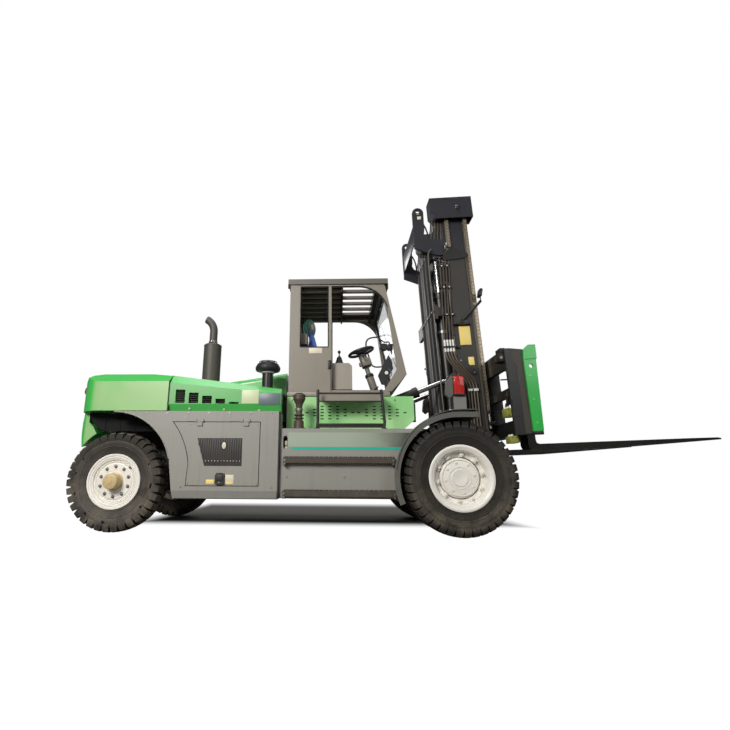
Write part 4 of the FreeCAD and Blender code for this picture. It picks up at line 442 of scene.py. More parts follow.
# finish of the CAD nodes: a stem stands for a node or for its right and left pair
DRESSES = {
    "weight_green": "counterweight",
    "hood_green": "engine_hood hood_sides",
    "panel_green": "centre_panels",
    "plate_green": "carriage_end_plates",
    "grey_paint": "side_box access_door step_bay hood_deck",
    "fender_grey": "front_fender",
    "taupe_paint": "cab_side cab_rear_wall cab_front_frame cab_floor steering_column",
    "roof_taupe": "cab_roof",
    "warm_grey": "control_console",
    "frame_paint": "chassis_frame tail_frame drive_axle steer_axle steer_knuckle",
    "engine_paint": "engine_and_gearbox",
    "filler_brown": "oil_filler",
    "black_paint": "handrails seat_base carriage_frame tilt_barrel lift_barrels sheaves precleaner",
    "step_brown": "steps",
    "mast_paint": "outer_mast",
    "blue_black": "inner_mast steering_wheel",
    "rim_paint": "front_rims rear_rim",
    "front_rubber": "front_tyres rear_tyre",
    "fork_steel": "fork",
    "bright_steel": "lift_rods tilt_rod",
    "chain_steel": "lift_chains",
    "exhaust_paint": "exhaust_stack",
    "cab_tint": "cab_glass",
    "seat_cloth": "seat_cushion seat_back"}
for paint, stems in DRESSES.items():
    for stem in stems.split():
        for name in (stem, stem + "_right", stem + "_left"):
            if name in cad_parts:
                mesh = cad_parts[name].data
                mesh.materials.clear()
                mesh.materials.append(PAINTS[paint])


# ---------------------------------------------------------------- modelling helpers
FOLD_ANGLE = 32                # degrees; a fold of more than this keeps its edge
TYRE_FOLD_ANGLE = 40


def finished(name, bm, body, paints, angle=FOLD_ANGLE):
    """Closes a piece: clean normals, smooth faces with their folds kept, rides on its body."""
    bmesh.ops.recalc_face_normals(bm, faces=bm.faces)
    mesh = bpy.data.meshes.new(name)
    bm.to_mesh(mesh)
    bm.free()
    for paint in paints.split():
        mesh.materials.append(PAINTS[paint])
    mesh.polygons.foreach_set("use_smooth", [True] * len(mesh.polygons))
    mesh.set_sharp_from_angle(angle=math.radians(angle))
    piece = linked(name, mesh)
    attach(piece, body)
    return piece


def paint_faces(verts, mat):
    for face in {f for v in verts for f in v.link_faces}:
        face.material_index = mat


def only_verts(geom):
    return [g for g in geom if isinstance(g, bmesh.types.BMVert)]


def rounded(bm, edges, size, segments):
    bmesh.ops.bevel(bm, geom=edges, offset=size, segments=segments, affect="EDGES", profile=0.5,
                    material=-1, clamp_overlap=True)


def drawn_out(bm, verts, vec, mat=0):
    """Turns a flat outline into a solid along a vector; returns all its corners."""
    face = bm.faces.new(verts)
    moved = only_verts(bmesh.ops.extrude_face_region(bm, geom=[face])["geom"])
    bmesh.ops.translate(bm, vec=vec, verts=moved)
    paint_faces(verts + moved, mat)
    return verts + moved


def block(bm, low, high, bevel, mat=0, matrix=None):
    """A box between two corners, its edges rounded; with a matrix the corners are its own."""
    low, high = (spot(low), spot(high)) if matrix is None else (Vector(low), Vector(high))
    verts = bmesh.ops.create_cube(bm, size=1.0)["verts"]
    bmesh.ops.scale(bm, vec=high - low, verts=verts)
    bmesh.ops.translate(bm, vec=(low + high) / 2, verts=verts)
    if matrix is not None:
        bmesh.ops.transform(bm, matrix=matrix, verts=verts)
    paint_faces(verts, mat)
    if bevel:
        rounded(bm, list({e for v in verts for e in v.link_edges}), bevel, 2)


def rod(bm, start, end, r, segments, mat=0, bevel=0.0):
    """A round bar, or a cone for two radii, its rims rounded when a bevel is given."""
    start, end = spot(start), spot(end)
    r_start, r_end = r if isinstance(r, tuple) else (r, r)
    verts = bmesh.ops.create_cone(bm, cap_ends=True, segments=segments, radius1=r_start, radius2=r_end,
                                  depth=(end - start).length)["verts"]
    turn = (end - start).to_track_quat("Z", "Y").to_matrix().to_4x4()
    bmesh.ops.transform(bm, matrix=Matrix.Translation((start + end) / 2) @ turn, verts=verts)
    paint_faces(verts, mat)
    if bevel:
        rims = [e for e in {e for v in verts for e in v.link_edges}
                if len(e.link_faces) == 2 and max(len(f.verts) for f in e.link_faces) > 4]
        rounded(bm, rims, bevel, 2)


def bolt(bm, at, r, h, mat=0, way=(0, -1, 0)):
    """Washer and hexagon head standing on a face."""
    at, way = spot(at), Vector(way).normalized()
    rod(bm, at, at + way * 0.003, r * 1.4, 18, mat)
    rod(bm, at + way * 0.0025, at + way * h, (r, r * 0.93), 6, mat)


def lathe(bm, outline, centre, axis, steps=48, mat=0):
    """Turns a closed outline of (radius, place along the axis) about an axis through the centre."""
    centre = spot(centre)
    along = Vector([float(axis == name) for name in "XYZ"])
    out = Vector((1, 0, 0)) if axis == "Z" else Vector((0, 0, 1))
    verts = [bm.verts.new(centre + out * r + along * w) for r, w in outline]
    edges = [bm.edges.new((first, last)) for first, last in zip(verts, verts[1:] + verts[:1])]
    before = set(bm.faces)
    bmesh.ops.spin(bm, geom=verts + edges, cent=centre, axis=along, angle=TAU, steps=steps, use_merge=True,
                   use_duplicate=False)
    made = [f for f in bm.faces if f not in before]
    for face in made:
        face.material_index = mat
    bmesh.ops.remove_doubles(bm, verts=list({v for f in made for v in f.verts}), dist=1e-5)


def plate(bm, outline, y0, y1, bevel, mat=0):
    """A flat plate: its side view (x, z), measured from the front axle, drawn out from y0 to y1."""
    verts = drawn_out(bm, [bm.verts.new(ahead(x, y0, z)) for x, z in outline], (0, y1 - y0, 0), mat)
    if bevel:
        rounded(bm, list({e for v in verts for e in v.link_edges}), bevel, 1)


def tube(bm, points, r, mat, order=3, detail=6, sides=2):
    """A bent pipe or a clipped hose along a smooth line steered by a few points."""
    data = bpy.data.curves.new("line", "CURVE")
    data.dimensions = "3D"
    data.bevel_depth = r
    data.bevel_resolution = sides
    data.use_fill_caps = True
    line = data.splines.new("NURBS")
    line.points.add(len(points) - 1)
    for knot, place in zip(line.points, points):
        knot.co = (*spot(place), 1.0)
    line.order_u = min(order, len(points))
    line.use_endpoint_u = True
    line.resolution_u = detail
    holder = bpy.data.objects.new("line", data)
    mesh = bpy.data.meshes.new_from_object(holder)
    before = set(bm.faces)
    bm.from_mesh(mesh)
    for face in bm.faces:
        if face not in before:
            face.material_index = mat
    bpy.data.objects.remove(holder)
    bpy.data.curves.remove(data)
    bpy.data.meshes.remove(mesh)


def both(bm):
    """Adds the mirror image on the other side of the truck of everything made so far."""
    made = bmesh.ops.duplicate(bm, geom=bm.verts[:] + bm.edges[:] + bm.faces[:])["geom"]
    bmesh.ops.scale(bm, vec=(1, -1, 1), verts=only_verts(made))


def leaned(bm):
    bmesh.ops.transform(bm, matrix=LEAN, verts=bm.verts)


def move_new(bm, before, matrix):
    """Places everything made since a list of corners was kept."""
    bmesh.ops.transform(bm, matrix=matrix, verts=[v for v in bm.verts if v not in before])


def ring_of(count, r, phase=0.0):
    """Places round a circle: the angle and its two coordinates."""
    for i in range(count):
        a = TAU * (i + phase) / count
        yield a, r * math.cos(a), r * math.sin(a)


# ---------------------------------------------------------------- wheels
LUG_TAPER = 0.10               # growth of a tread bar's half width per depth below its top
LUG_SHARE = 0.31               # half a bar's share of the pitch between bars
LUG_SKEW = 0.28                # turn of a bar for each metre across the tyre
TREAD, WALL = 1, 2             # slots of a tyre's finishes


def lug(bm, centre, side, angle, outline, half):
    """One tread bar: its cross section (radius, width) drawn out round the wheel, tapered."""
    top = max(r for r, w in outline)
    rings = []
    for way in (-1, 1):
        ring = []
        for r, w in outline:
            a = angle + LUG_SKEW * w + way * (half + LUG_TAPER * (top - r)) / r
            ring.append(bm.verts.new(centre + Vector((r * math.cos(a), side * w, r * math.sin(a)))))
        rings.append(ring)
    first, last = rings
    count = len(outline)
    faces = [bm.faces.new(first), bm.faces.new(list(reversed(last)))]
    for i in range(count):
        j = (i + 1) % count
        faces.append(bm.faces.new((first[j], first[i], last[i], last[j])))
    for face in faces:
        face.material_index = TREAD


def tyre(bm, x, radius, face_y, width, seat_r, flange_r, lugs, side):
    """A tyre with a ribbed sidewall and staggered tread bars that wrap over its shoulders."""
    h = width / 2
    centre = ahead(x, side * (face_y - h), radius)
    belly = seat_r + 0.55 * (radius - seat_r)
    half_line = [(seat_r + 0.0003, h - 0.046), (seat_r + 0.044, h - 0.0343), (flange_r + 0.006, h - 0.0343),
        (flange_r + 0.01, h - 0.026), (flange_r + 0.018, h - 0.024), (flange_r + 0.021, h - 0.029),
        (flange_r + 0.032, h - 0.028), (belly - 0.034, h - 0.014), (belly - 0.03, h - 0.008),
        (belly - 0.022, h - 0.007), (belly - 0.018, h - 0.0105), (belly, h - 0.005),
        (belly + 0.03, h - 0.005), (radius - 0.118, h - 0.01), (radius - 0.114, h - 0.005),
        (radius - 0.106, h - 0.005), (radius - 0.102, h - 0.014), (radius - 0.072, h - 0.03),
        (radius - 0.056, h - 0.056), (radius - 0.048, h - 0.085)]
    outline = half_line + [(radius - 0.045, 0.0)] + [(r, -w) for r, w in reversed(half_line)]
    lathe(bm, outline, centre, "Y", 96)
    # faces on the sidewall's bulge take the wall finish, paler and dustier: dust, and a painted highlight of
    # the bulge where it faces the light
    for face in bm.faces:
        middle = face.calc_center_median() - centre
        if abs(middle.y) > h * 0.6 and belly - 0.036 < math.hypot(middle.x, middle.z) < radius - 0.06:
            face.material_index = max(face.material_index, WALL)
    bar = [(radius - 0.052, 0.012), (radius, 0.012), (radius - 0.002, 0.045), (radius - 0.008, h - 0.05),
        (radius - 0.02, h - 0.018), (radius - 0.052, h - 0.002), (radius - 0.086, h - 0.0005),
        (radius - 0.104, h - 0.007), (radius - 0.1, h - 0.024), (radius - 0.074, h - 0.042),
        (radius - 0.06, h - 0.066), (radius - 0.054, h - 0.09)]
    half = LUG_SHARE * TAU * radius / lugs
    for shoulder in (-1, 1):
        for i in range(lugs):
            angle = TAU * (i + (0.5 if shoulder > 0 else 0.0)) / lugs
            lug(bm, centre, shoulder, angle, bar, half)


def turned(bm, side, hub, outlines, steps, mat=0):
    """Turns outlines of (radius, distance out from the truck's middle plane) about a wheel's axis."""
    for outline in outlines:
        lathe(bm, [(r, side * w) for r, w in outline], hub, "Y", steps, mat)


def hex_nut(bm, at, way, r, h, mat):
    """Washer, nut and the end of its stud."""
    rod(bm, at, at + way * 0.004, r * 1.45, 20, mat)
    rod(bm, at + way * 0.003, at + way * h, r, 6, mat)
    rod(bm, at + way * h, at + way * (h + 0.012), (r * 0.52, r * 0.46), 10, mat)


def front_wheel(side, label):
    bm = bmesh.new()
    for i in range(2):
        tyre(bm, 0, FRONT_R, 1.3 - 0.35 * i, 0.315, 0.306, 0.366, 40, side)
    piece = finished("front_tyres_with_tread_" + label, bm, "front_wheel_" + label,
        "front_rubber front_tread front_wall", angle=TYRE_FOLD_ANGLE)
    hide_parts("front_tyres_" + label)
    bm = bmesh.new()
    out = Vector((0, side, 0))
    hub = ahead(0, 0, FRONT_R)
    for a, dx, dz in ring_of(10, 1.0, 0.3):
        spoke = Vector((dx, 0, dz))
        turn = Matrix.Translation(hub + spoke * 0.258 + out * 1.172) @ Matrix.Rotation(-a, 4, "Y")
        block(bm, (-0.026, -0.022, -0.03), (0.032, 0.022, 0.03), 0.006, 0, turn)
        hex_nut(bm, hub + spoke * 0.256 + out * 1.193, out, 0.0155, 0.018, 0)
    # dished outer rim, inner rim, spacer and disc between them, drum
    outlines = ([(0.366, 1.278), (0.366, 1.266), (0.35, 1.27), (0.306, 1.254), (0.306, 1.031), (0.35, 1.015),
        (0.366, 1.019), (0.366, 1.007), (0.336, 1.003), (0.292, 1.005), (0.292, 1.13), (0.28, 1.152),
        (0.236, 1.156), (0.236, 1.166), (0.272, 1.168), (0.278, 1.174), (0.284, 1.172), (0.287, 1.192),
        (0.289, 1.216), (0.293, 1.238), (0.299, 1.252), (0.31, 1.266), (0.327, 1.272), (0.334, 1.279),
        (0.344, 1.2815), (0.36, 1.2815)], [(0.292, 0.93), (0.336, 0.932), (0.366, 0.928), (0.366, 0.916),
        (0.35, 0.92), (0.306, 0.904), (0.306, 0.681), (0.35, 0.665), (0.366, 0.669), (0.366, 0.657),
        (0.336, 0.653), (0.292, 0.655)], [(0.276, 1.02), (0.3, 1.02), (0.3, 0.91), (0.276, 0.91)],
        [(0.18, 1.015), (0.298, 1.015), (0.298, 0.985), (0.18, 0.985)],
        [(0.0, 1.19), (0.022, 1.19), (0.07, 1.202), (0.088, 1.204), (0.096, 1.196), (0.186, 1.19),
        (0.218, 1.178), (0.228, 1.16), (0.228, 0.985), (0.2, 0.975), (0.2, 0.66), (0.0883, 0.66),
        (0.0883, 1.015), (0.0, 1.015)])
    turned(bm, side, hub, outlines, 72)
    turned(bm, side, hub, [[(r - 0.004, 1.19), (r + 0.004, 1.19), (r + 0.003, 1.199), (r - 0.003, 1.199)]
        for r in (0.2, 0.12)], 56)
    # valve and its cap, then the plate and bolts in the middle of the drum
    stem = hub + Vector((math.cos(0.45), 0, math.sin(0.45))) * 0.3
    rod(bm, stem + out * 1.14, stem + out * 1.205, 0.008, 10, 1)
    rod(bm, stem + out * 1.203, stem + out * 1.222, (0.0105, 0.009), 10, 2)
    turned(bm, side, hub, [[(0.0, 1.176), (0.05, 1.176), (0.05, 1.183), (0.036, 1.187), (0.0, 1.188)]], 32)
    for _, dx, dz in ring_of(8, 0.168, 0.25):
        bolt(bm, hub + Vector((dx, 0, dz)) + out * 1.1965, 0.01, 0.01, way=out)
    piece = finished("front_rims_with_fittings_" + label, bm, "front_wheel_" + label,
        "rim_paint dull_steel black_rubber")
    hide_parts("front_rims_" + label)


def rear_wheel(side, label):
    bm = bmesh.new()
    tyre(bm, REAR_AXLE, REAR_R, 1.16, 0.3, 0.256, 0.318, 34, side)
    piece = finished("rear_tyre_with_tread_" + label, bm, "rear_wheel_" + label,
        "rear_rubber rear_tread rear_wall", angle=TYRE_FOLD_ANGLE)
    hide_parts("rear_tyre_" + label)
    bm = bmesh.new()
    out = Vector((0, side, 0))
    hub = ahead(REAR_AXLE, 0, REAR_R)
    # pressed disc in steps, the nuts on its flat, and the tall hub cap
    disc = [(0.094, 1.07), (0.094, 1.106), (0.13, 1.106), (0.136, 1.11), (0.2, 1.11), (0.208, 1.102),
        (0.216, 1.1), (0.222, 1.108), (0.232, 1.112), (0.238, 1.104), (0.246, 1.106), (0.25, 1.122),
        (0.2545, 1.126), (0.2545, 1.112), (0.244, 1.09), (0.236, 1.07)]
    turned(bm, side, hub, [disc], 64)
    for _, dx, dz in ring_of(10, 0.172, 0.5):
        hex_nut(bm, hub + Vector((dx, 0, dz)) + out * 1.1095, out, 0.0145, 0.02, 1)
    outlines = ([(0.318, 1.138), (0.318, 1.126), (0.3, 1.13), (0.256, 1.114), (0.256, 0.906), (0.3, 0.89),
        (0.318, 0.894), (0.318, 0.882), (0.286, 0.878), (0.242, 0.88), (0.242, 1.096), (0.246, 1.112),
        (0.254, 1.1215), (0.266, 1.125), (0.272, 1.132), (0.28, 1.133), (0.284, 1.13), (0.291, 1.132),
        (0.296, 1.14), (0.304, 1.142), (0.314, 1.142)], [(0.0553, 1.076), (0.205, 1.076), (0.25, 1.03),
        (0.25, 1.0), (0.2, 1.05), (0.0553, 1.05)], [(0.0, 1.155), (0.06, 1.155), (0.076, 1.145), (0.08, 1.09),
        (0.095, 1.076), (0.095, 0.86), (0.0553, 0.86), (0.0553, 1.105), (0.0, 1.105)])
    turned(bm, side, hub, outlines, 72)
    cap = [(0.0, 1.09), (0.104, 1.09), (0.104, 1.112), (0.09, 1.118), (0.088, 1.22), (0.083, 1.23),
        (0.07, 1.234), (0.03, 1.236), (0.028, 1.242), (0.0, 1.244)]
    turned(bm, side, hub, [cap], 40, 3)
    for _, dx, dz in ring_of(6, 0.055):
        bolt(bm, hub + Vector((dx, 0, dz)) + out * 1.2335, 0.006, 0.006, 3, way=out)
    stem = hub + Vector((math.cos(0.75), 0, math.sin(0.75))) * 0.218
    rod(bm, stem + out * 1.07, stem + out * 1.122 + Vector((0.014, 0, 0.01)), 0.008, 10, 1)
    rod(bm, stem + out * 1.12 + Vector((0.014, 0, 0.01)), stem + out * 1.138 + Vector((0.018, 0, 0.013)),
        0.011, 10, 2)
    piece = finished("rear_rim_with_fittings_" + label, bm, "rear_wheel_" + label,
        "rim_paint dark_nut black_rubber hub_cap_paint")
    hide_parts("rear_rim_" + label)


def wheels():
    for side, label in ((-1, "right"), (1, "left")):
        front_wheel(side, label)
        rear_wheel(side, label)


# ---------------------------------------------------------------- body sides
def door_fittings(label):
    bm = bmesh.new()
    # fine ribbed mesh over the window, the pale gauge behind its oval hole, and a row of dots
    plate(bm, ((-3.017, 1.076), (-2.49, 1.076), (-2.485, 0.759), (-2.921, 0.759)), -1.2035, -1.1995, 0.0008,
        1)
    x = -3.0
    while x < -2.492:
        foot = 0.766 if x > -2.925 else 0.766 + (-2.925 - x) * 3.1
        block(bm, (x, -1.2075, foot), (x + 0.011, -1.203, 1.07), 0.0012, 6)
        x += 0.027
    for z in (0.83, 0.91, 0.99):
        block(bm, (-2.9 if z < 0.9 else -2.96, -1.2066, z), (-2.494, -1.203, z + 0.004), 0.0006, 1)
    before = set(bm.verts)
    gauge = ahead(-2.7, 0, 0.992)
    lathe(bm, [(0.0, -1.2095), (0.022, -1.2095), (0.026, -1.207), (0.026, -1.203), (0.0, -1.203)], gauge,
        "Y", 32, 2)
    lathe(bm, [(0.025, -1.2105), (0.031, -1.2105), (0.033, -1.208), (0.033, -1.203), (0.025, -1.203)], gauge,
        "Y", 32, 1)
    bmesh.ops.scale(bm, vec=(1, 1, 1.6), space=Matrix.Translation((0, 0, -0.992)),
        verts=[v for v in bm.verts if v not in before])
    for i in range(12):
        rod(bm, (-2.905 + i * 0.036, -1.2095, 0.815), (-2.905 + i * 0.036, -1.203, 0.815), 0.0052, 10, 2,
            0.001)
    # paddle latch in its tray, key barrel, and the two blank plates beside it
    plate(bm, ((-2.782, 0.56), (-2.782, 0.655), (-2.765, 0.68), (-2.69, 0.68), (-2.673, 0.655),
        (-2.673, 0.56), (-2.69, 0.548), (-2.765, 0.548)), -1.2235, -1.199, 0.003, 1)
    block(bm, (-2.766, -1.232, 0.592), (-2.689, -1.222, 0.66), 0.004, 1)
    rod(bm, (-2.7275, -1.236, 0.572), (-2.7275, -1.222, 0.572), 0.009, 16, 3, 0.002)
    for x0, x1, z0, z1, mat in ((-2.888, -2.792, 0.557, 0.605, 4), (-2.667, -2.568, 0.553, 0.659, 5)):
        block(bm, (x0, -1.2035, z0), (x1, -1.1995, z1), 0.0012, mat)
    block(bm, (-2.655, -1.2045, 0.556), (-2.58, -1.203, 0.58), 0.0004, 4)
    for x, z in ((-3.105, 0.56), (-2.305, 0.56), (-2.305, 1.236), (-3.105, 1.236)):
        bolt(bm, (x, -1.2005, z), 0.006, 0.005)
    if label == "left":
        bmesh.ops.scale(bm, vec=(1, -1, 1), verts=bm.verts)
    finished("door_fittings_" + label, bm, "access_door_" + label,
        "grey_paint black_plastic cream_plate dull_steel yellow_plate cream_plate beam_brown")


def doors():
    door_fittings("right")
    door_fittings("left")


def side_box_trim():
    bm = bmesh.new()
    # folded edge along the wheel arch
    arc = [(-4.05 + 0.73 * math.cos(a), 0.66 + 0.73 * math.sin(a))
        for a in [math.radians(14 + i * 76 / 20) for i in range(21)]]
    tube(bm, [(x, SIDE + 0.004, z) for x, z in arc], 0.01, 0, 3, 3)
    # bolts along the top and at both ends of the foot
    for i in range(8):
        bolt(bm, (-3.9 + i * 0.25, SIDE + 0.0005, 1.372), 0.009, 0.009, 1)
    for x in (-3.18, -2.13):
        bolt(bm, (x, SIDE + 0.0005, 0.52), 0.008, 0.008, 1)
        bolt(bm, (x, SIDE + 0.0005, 1.32), 0.008, 0.008, 1)
    # the box's foot below its crease, a flat plate in a darker grey: painted shade of the folded-back face
    plate(bm, ((-3.262, 0.398), (-3.288, 0.47), (-3.288, 0.482), (-2.072, 0.482), (-2.072, 0.398)), -1.2022,
        -1.196, 0.0012, 3)
    # seam against the tank behind the steps
    block(bm, (-2.067, -1.196, 0.4), (-2.0515, -1.14, 1.392), 0.002, 2)
    # fuel cap on the top
    rod(bm, (-3.78, -1.02, 1.394), (-3.78, -1.02, 1.404), 0.055, 28, 1, 0.003)
    both(bm)
    finished("side_box_trim", bm, "chassis", "grey_paint dull_steel black_rubber shade_grey")


def hood_trim():
    bm = bmesh.new()
    # black boards inside the side vents, painted shade of the space behind them, and the slats
    for i in range(5):
        x0 = -3.36 + i * 0.166
        top = max(1.672 - i * 0.038, 1.526 - i * 0.003)
        foot = 1.508 - i * 0.003
        block(bm, (x0 - 0.004, -1.062, foot - 0.004), (x0 + 0.122, -1.046, top + 0.004), 0)
        z = foot + 0.022
        while z < top - 0.01:
            slat = Matrix.Translation(ahead(x0 + 0.059, -1.072, z)) @ Matrix.Rotation(0.6, 4, "X")
            block(bm, (-0.0585, -0.014, -0.0012), (0.0585, 0.01, 0.0012), 0.0006, 0, slat)
            z += 0.026
    # bolts along the lower edge of the panel
    for x, z in ((-3.183, 1.44), (-2.755, 1.43), (-2.327, 1.42)):
        bolt(bm, (x, -1.0805, z), 0.01, 0.01, 1, way=(0, -1, -0.6))
    both(bm)
    # rubber strip in the seam between the counterweight and the hood
    seam = [(-1.1035, 1.418), (-1.1035, 1.783), (-0.979, 1.876), (0.979, 1.876), (1.1035, 1.783),
        (1.1035, 1.418)]
    drawn_out(bm, [bm.verts.new(ahead(-3.453, y, z)) for y, z in seam], (0.0165, 0, 0))
    finished("hood_vents_and_seam", bm, "chassis", "black_rubber cream_plate")
    # two plain stickers, pale and slate
    bm = bmesh.new()
    for x0, x1, z0, z1, mat in ((-2.541, -2.335, 1.5, 1.668, 0), (-2.33, -2.068, 1.486, 1.628, 1)):
        block(bm, (x0, -1.102, z0), (x1, -1.0995, z1), 0.0009, mat)
    both(bm)
    finished("hood_stickers", bm, "chassis", "sticker_cream slate_plate")


def wheel_wells():
    """Near-black sheets over the rear wheels, clear of the tyres at full lock: painted shade of the wheel
    wells.
    """
    bm = bmesh.new()
    plate(bm, ((-4.52, 1.408), (-4.47, 1.3), (-4.385, 1.215), (-4.3, 1.178), (-3.42, 1.178), (-3.42, 1.408)),
        -0.905, -0.898, 0.002)
    for k in range(5):
        block(bm, (-4.3 + k * 0.19, -0.912, 1.19), (-4.288 + k * 0.19, -0.904, 1.396), 0.002)
    plate(bm, ((-4.18, 1.405), (-4.18, 1.385), (-3.64, 1.385), (-3.64, 1.405)), -1.06, -0.9, 0.002)
    both(bm)
    finished("rear_well_shade_sheets", bm, "chassis", "deep_black")


def fender_lips():
    """Thin upper lip of the front mudguard, its stays and the cables clipped below it."""
    bm = bmesh.new()
    over, under = [], []
    for i in range(15):
        a = math.radians(172 - i * 78 / 14)
        r = 0.726 + 0.052 * (i / 14) ** 1.4
        over.append((r * math.cos(a), 0.625 + r * math.sin(a)))
        under.append(((r - 0.007) * math.cos(a), 0.625 + (r - 0.007) * math.sin(a)))
    over += [(0.06, 1.406), (0.226, 1.406)]
    under += [(0.06, 1.399), (0.226, 1.399)]
    for (x0, z0), (x1, z1), (x2, z2), (x3, z3) in zip(over, over[1:], under[1:], under):
        plate(bm, ((x0, z0), (x1, z1), (x2, z2), (x3, z3)), -1.312, -1.06, 0)
    bmesh.ops.remove_doubles(bm, verts=bm.verts, dist=1e-05)
    for x in (-0.2, -0.02, 0.16):
        block(bm, (x, -1.25, 1.345), (x + 0.024, -1.23, 1.401), 0.002)
    for k, y in enumerate((-1.285, -1.265, -1.245)):
        tube(bm, [(-0.33, y, 1.29 + 0.006 * k), (-0.18, y, 1.372), (-0.02, y, 1.38), (0.12, y, 1.378),
            (0.19, y, 1.345)], 0.0075, 1)
    both(bm)
    finished("fender_lips", bm, "chassis", "fender_grey black_rubber")


def step_trim():
    bm = bmesh.new()
    # raised teeth along both edges of every tread, plates pierced with round holes between them
    for top, x0, x1 in ((0.86, -2.005, -0.725), (0.49, -2.005, -0.715)):
        x = x0 + 0.016
        while x < x1 - 0.02:
            for y in (-1.2225, -1.166):
                plate(bm, ((x, top - 0.002), (x + 0.004, top + 0.013), (x + 0.011, top + 0.013),
                    (x + 0.016, top - 0.002)), y, y + 0.012, 0)
            x += 0.027
        for i in range(22):
            place = ahead(x0 + 0.045 + i * 0.0565, -1.19, top)
            lathe(bm, [(0.01, 0.001), (0.015, 0.001), (0.016, 0.006), (0.0125, 0.0075), (0.01, 0.005)], place,
                "Z", 12)
        for x in (x0 + 0.02, x1 - 0.02):
            bolt(bm, (x, -1.2255, top - 0.034), 0.01, 0.011, 1)
            block(bm, (x - 0.02, -1.226, top - 0.088), (x + 0.02, -1.15, top - 0.06), 0.003)
            bolt(bm, (x, -1.226, top - 0.074), 0.008, 0.009, 1)
    # the filler bottles seen through the foothold, and the black board behind them, painted shade inside the
    # foothold
    for z in (0.965, 1.03):
        lathe(bm, [(0.0, -0.03), (0.016, -0.03), (0.019, -0.024), (0.019, 0.018), (0.01, 0.026),
            (0.0, 0.026)], (-1.988, -1.088, z), "Z", 20, 2)
    rod(bm, (-1.988, -1.088, 0.935), (-1.988, -1.088, 1.062), 0.006, 10, 1)
    block(bm, (-2.03, -1.073, 0.92), (-1.95, -1.068, 1.09), 0, 3)
    both(bm)
    finished("step_teeth", bm, "chassis", "black_paint dull_steel cream_plate black_rubber")
    # stripes along the tank: a band that goes from dark at the front to pale at the back, and the teal line
    # under it
    bm = bmesh.new()
    plate(bm, ((-1.958, 0.9815), (-1.958, 1.1485), (-0.53, 1.1485), (-0.6, 0.9815)), -1.1512, -1.1498, 0.0004)
    plate(bm, ((-1.916, 0.948), (-1.916, 0.9795), (-0.605, 0.9795), (-0.618, 0.948)), -1.1514, -1.1498,
        0.0004, 1)
    for x in (-1.96, -1.3, -0.64):
        bolt(bm, (x, -1.1505, 0.64), 0.008, 0.008, 2)
    both(bm)
    finished("tank_stripes", bm, "chassis", "fading_band teal_stripe dull_steel")


def slot_shade_and_bolts():
    """Dark boards behind the cooling slots of the centre panels, painted shade of the space behind them, and
    the panels' bolts.
    """
    bm = bmesh.new()
    block(bm, (-1.9, -0.715, 1.32), (-0.38, -0.708, 1.56), 0)
    for x in (-1.96, -1.56, -1.15, -0.64):
        for z in (1.225, 1.6):
            bolt(bm, (x, -0.7325, z), 0.009, 0.009, 1)
    both(bm)
    finished("slot_shade_boards", bm, "chassis", "black_rubber dull_steel")


# ---------------------------------------------------------------- stack, air intake, filler
def band(bm, centre, z, half, radii, steps=48, mat=0):
    """A ring round an upright pipe: radii of its inside, its edges and its middle."""
    inside, edge, middle = radii
    lathe(bm, [(inside, z - half), (edge, z - half), (middle, z), (edge, z + half), (inside, z + half)],
        centre, "Z", steps, mat)


def bolt_ring(bm, at, count, r, z, size, phase=0.0):
    """Bolts on a round flange that faces up."""
    for _, dx, dy in ring_of(count, r, phase):
        bolt(bm, at + Vector((dx, dy, z)), size, size + 0.001, 1, way=(0, 0, 1))


def fins(bm, at, count, low, high):
    """Small ribs round an upright cap."""
    for a, _, _ in ring_of(count, 1):
        block(bm, low, high, 0.001, 0, Matrix.Translation(at) @ Matrix.Rotation(a, 4, "Z"))


def stack_details():
    bm = bmesh.new()
    x, y = -3.19, -0.23
    at = ahead(x, y, 0)
    # rolled rims of the muffler, and its lengthways seam
    for z in (1.944, 2.476):
        band(bm, at, z, 0.008, (0.121, 0.1262, 0.1275))
    lathe(bm, [(0.054, 2.488), (0.112, 2.488), (0.104, 2.5), (0.07, 2.512), (0.054, 2.516)], at, "Z", 40)
    block(bm, at + Vector((-0.01, 0.1238, 1.952)), at + Vector((0.01, 0.1268, 2.468)), 0.001)
    # clamp on the pipe and its bolt
    band(bm, at, 2.535, 0.015, (0.0555, 0.062, 0.064), 32, 1)
    block(bm, (x - 0.01, y - 0.084, 2.522), (x + 0.01, y - 0.06, 2.548), 0.003, 1)
    # flange on the deck with its bolts
    lathe(bm, [(0.088, 1.716), (0.135, 1.716), (0.135, 1.728), (0.11, 1.732), (0.096, 1.77), (0.088, 1.77)],
        at, "Z", 40, 1)
    bolt_ring(bm, at, 6, 0.122, 1.728, 0.008)
    finished("stack_bands", bm, "chassis", "exhaust_paint dull_steel")


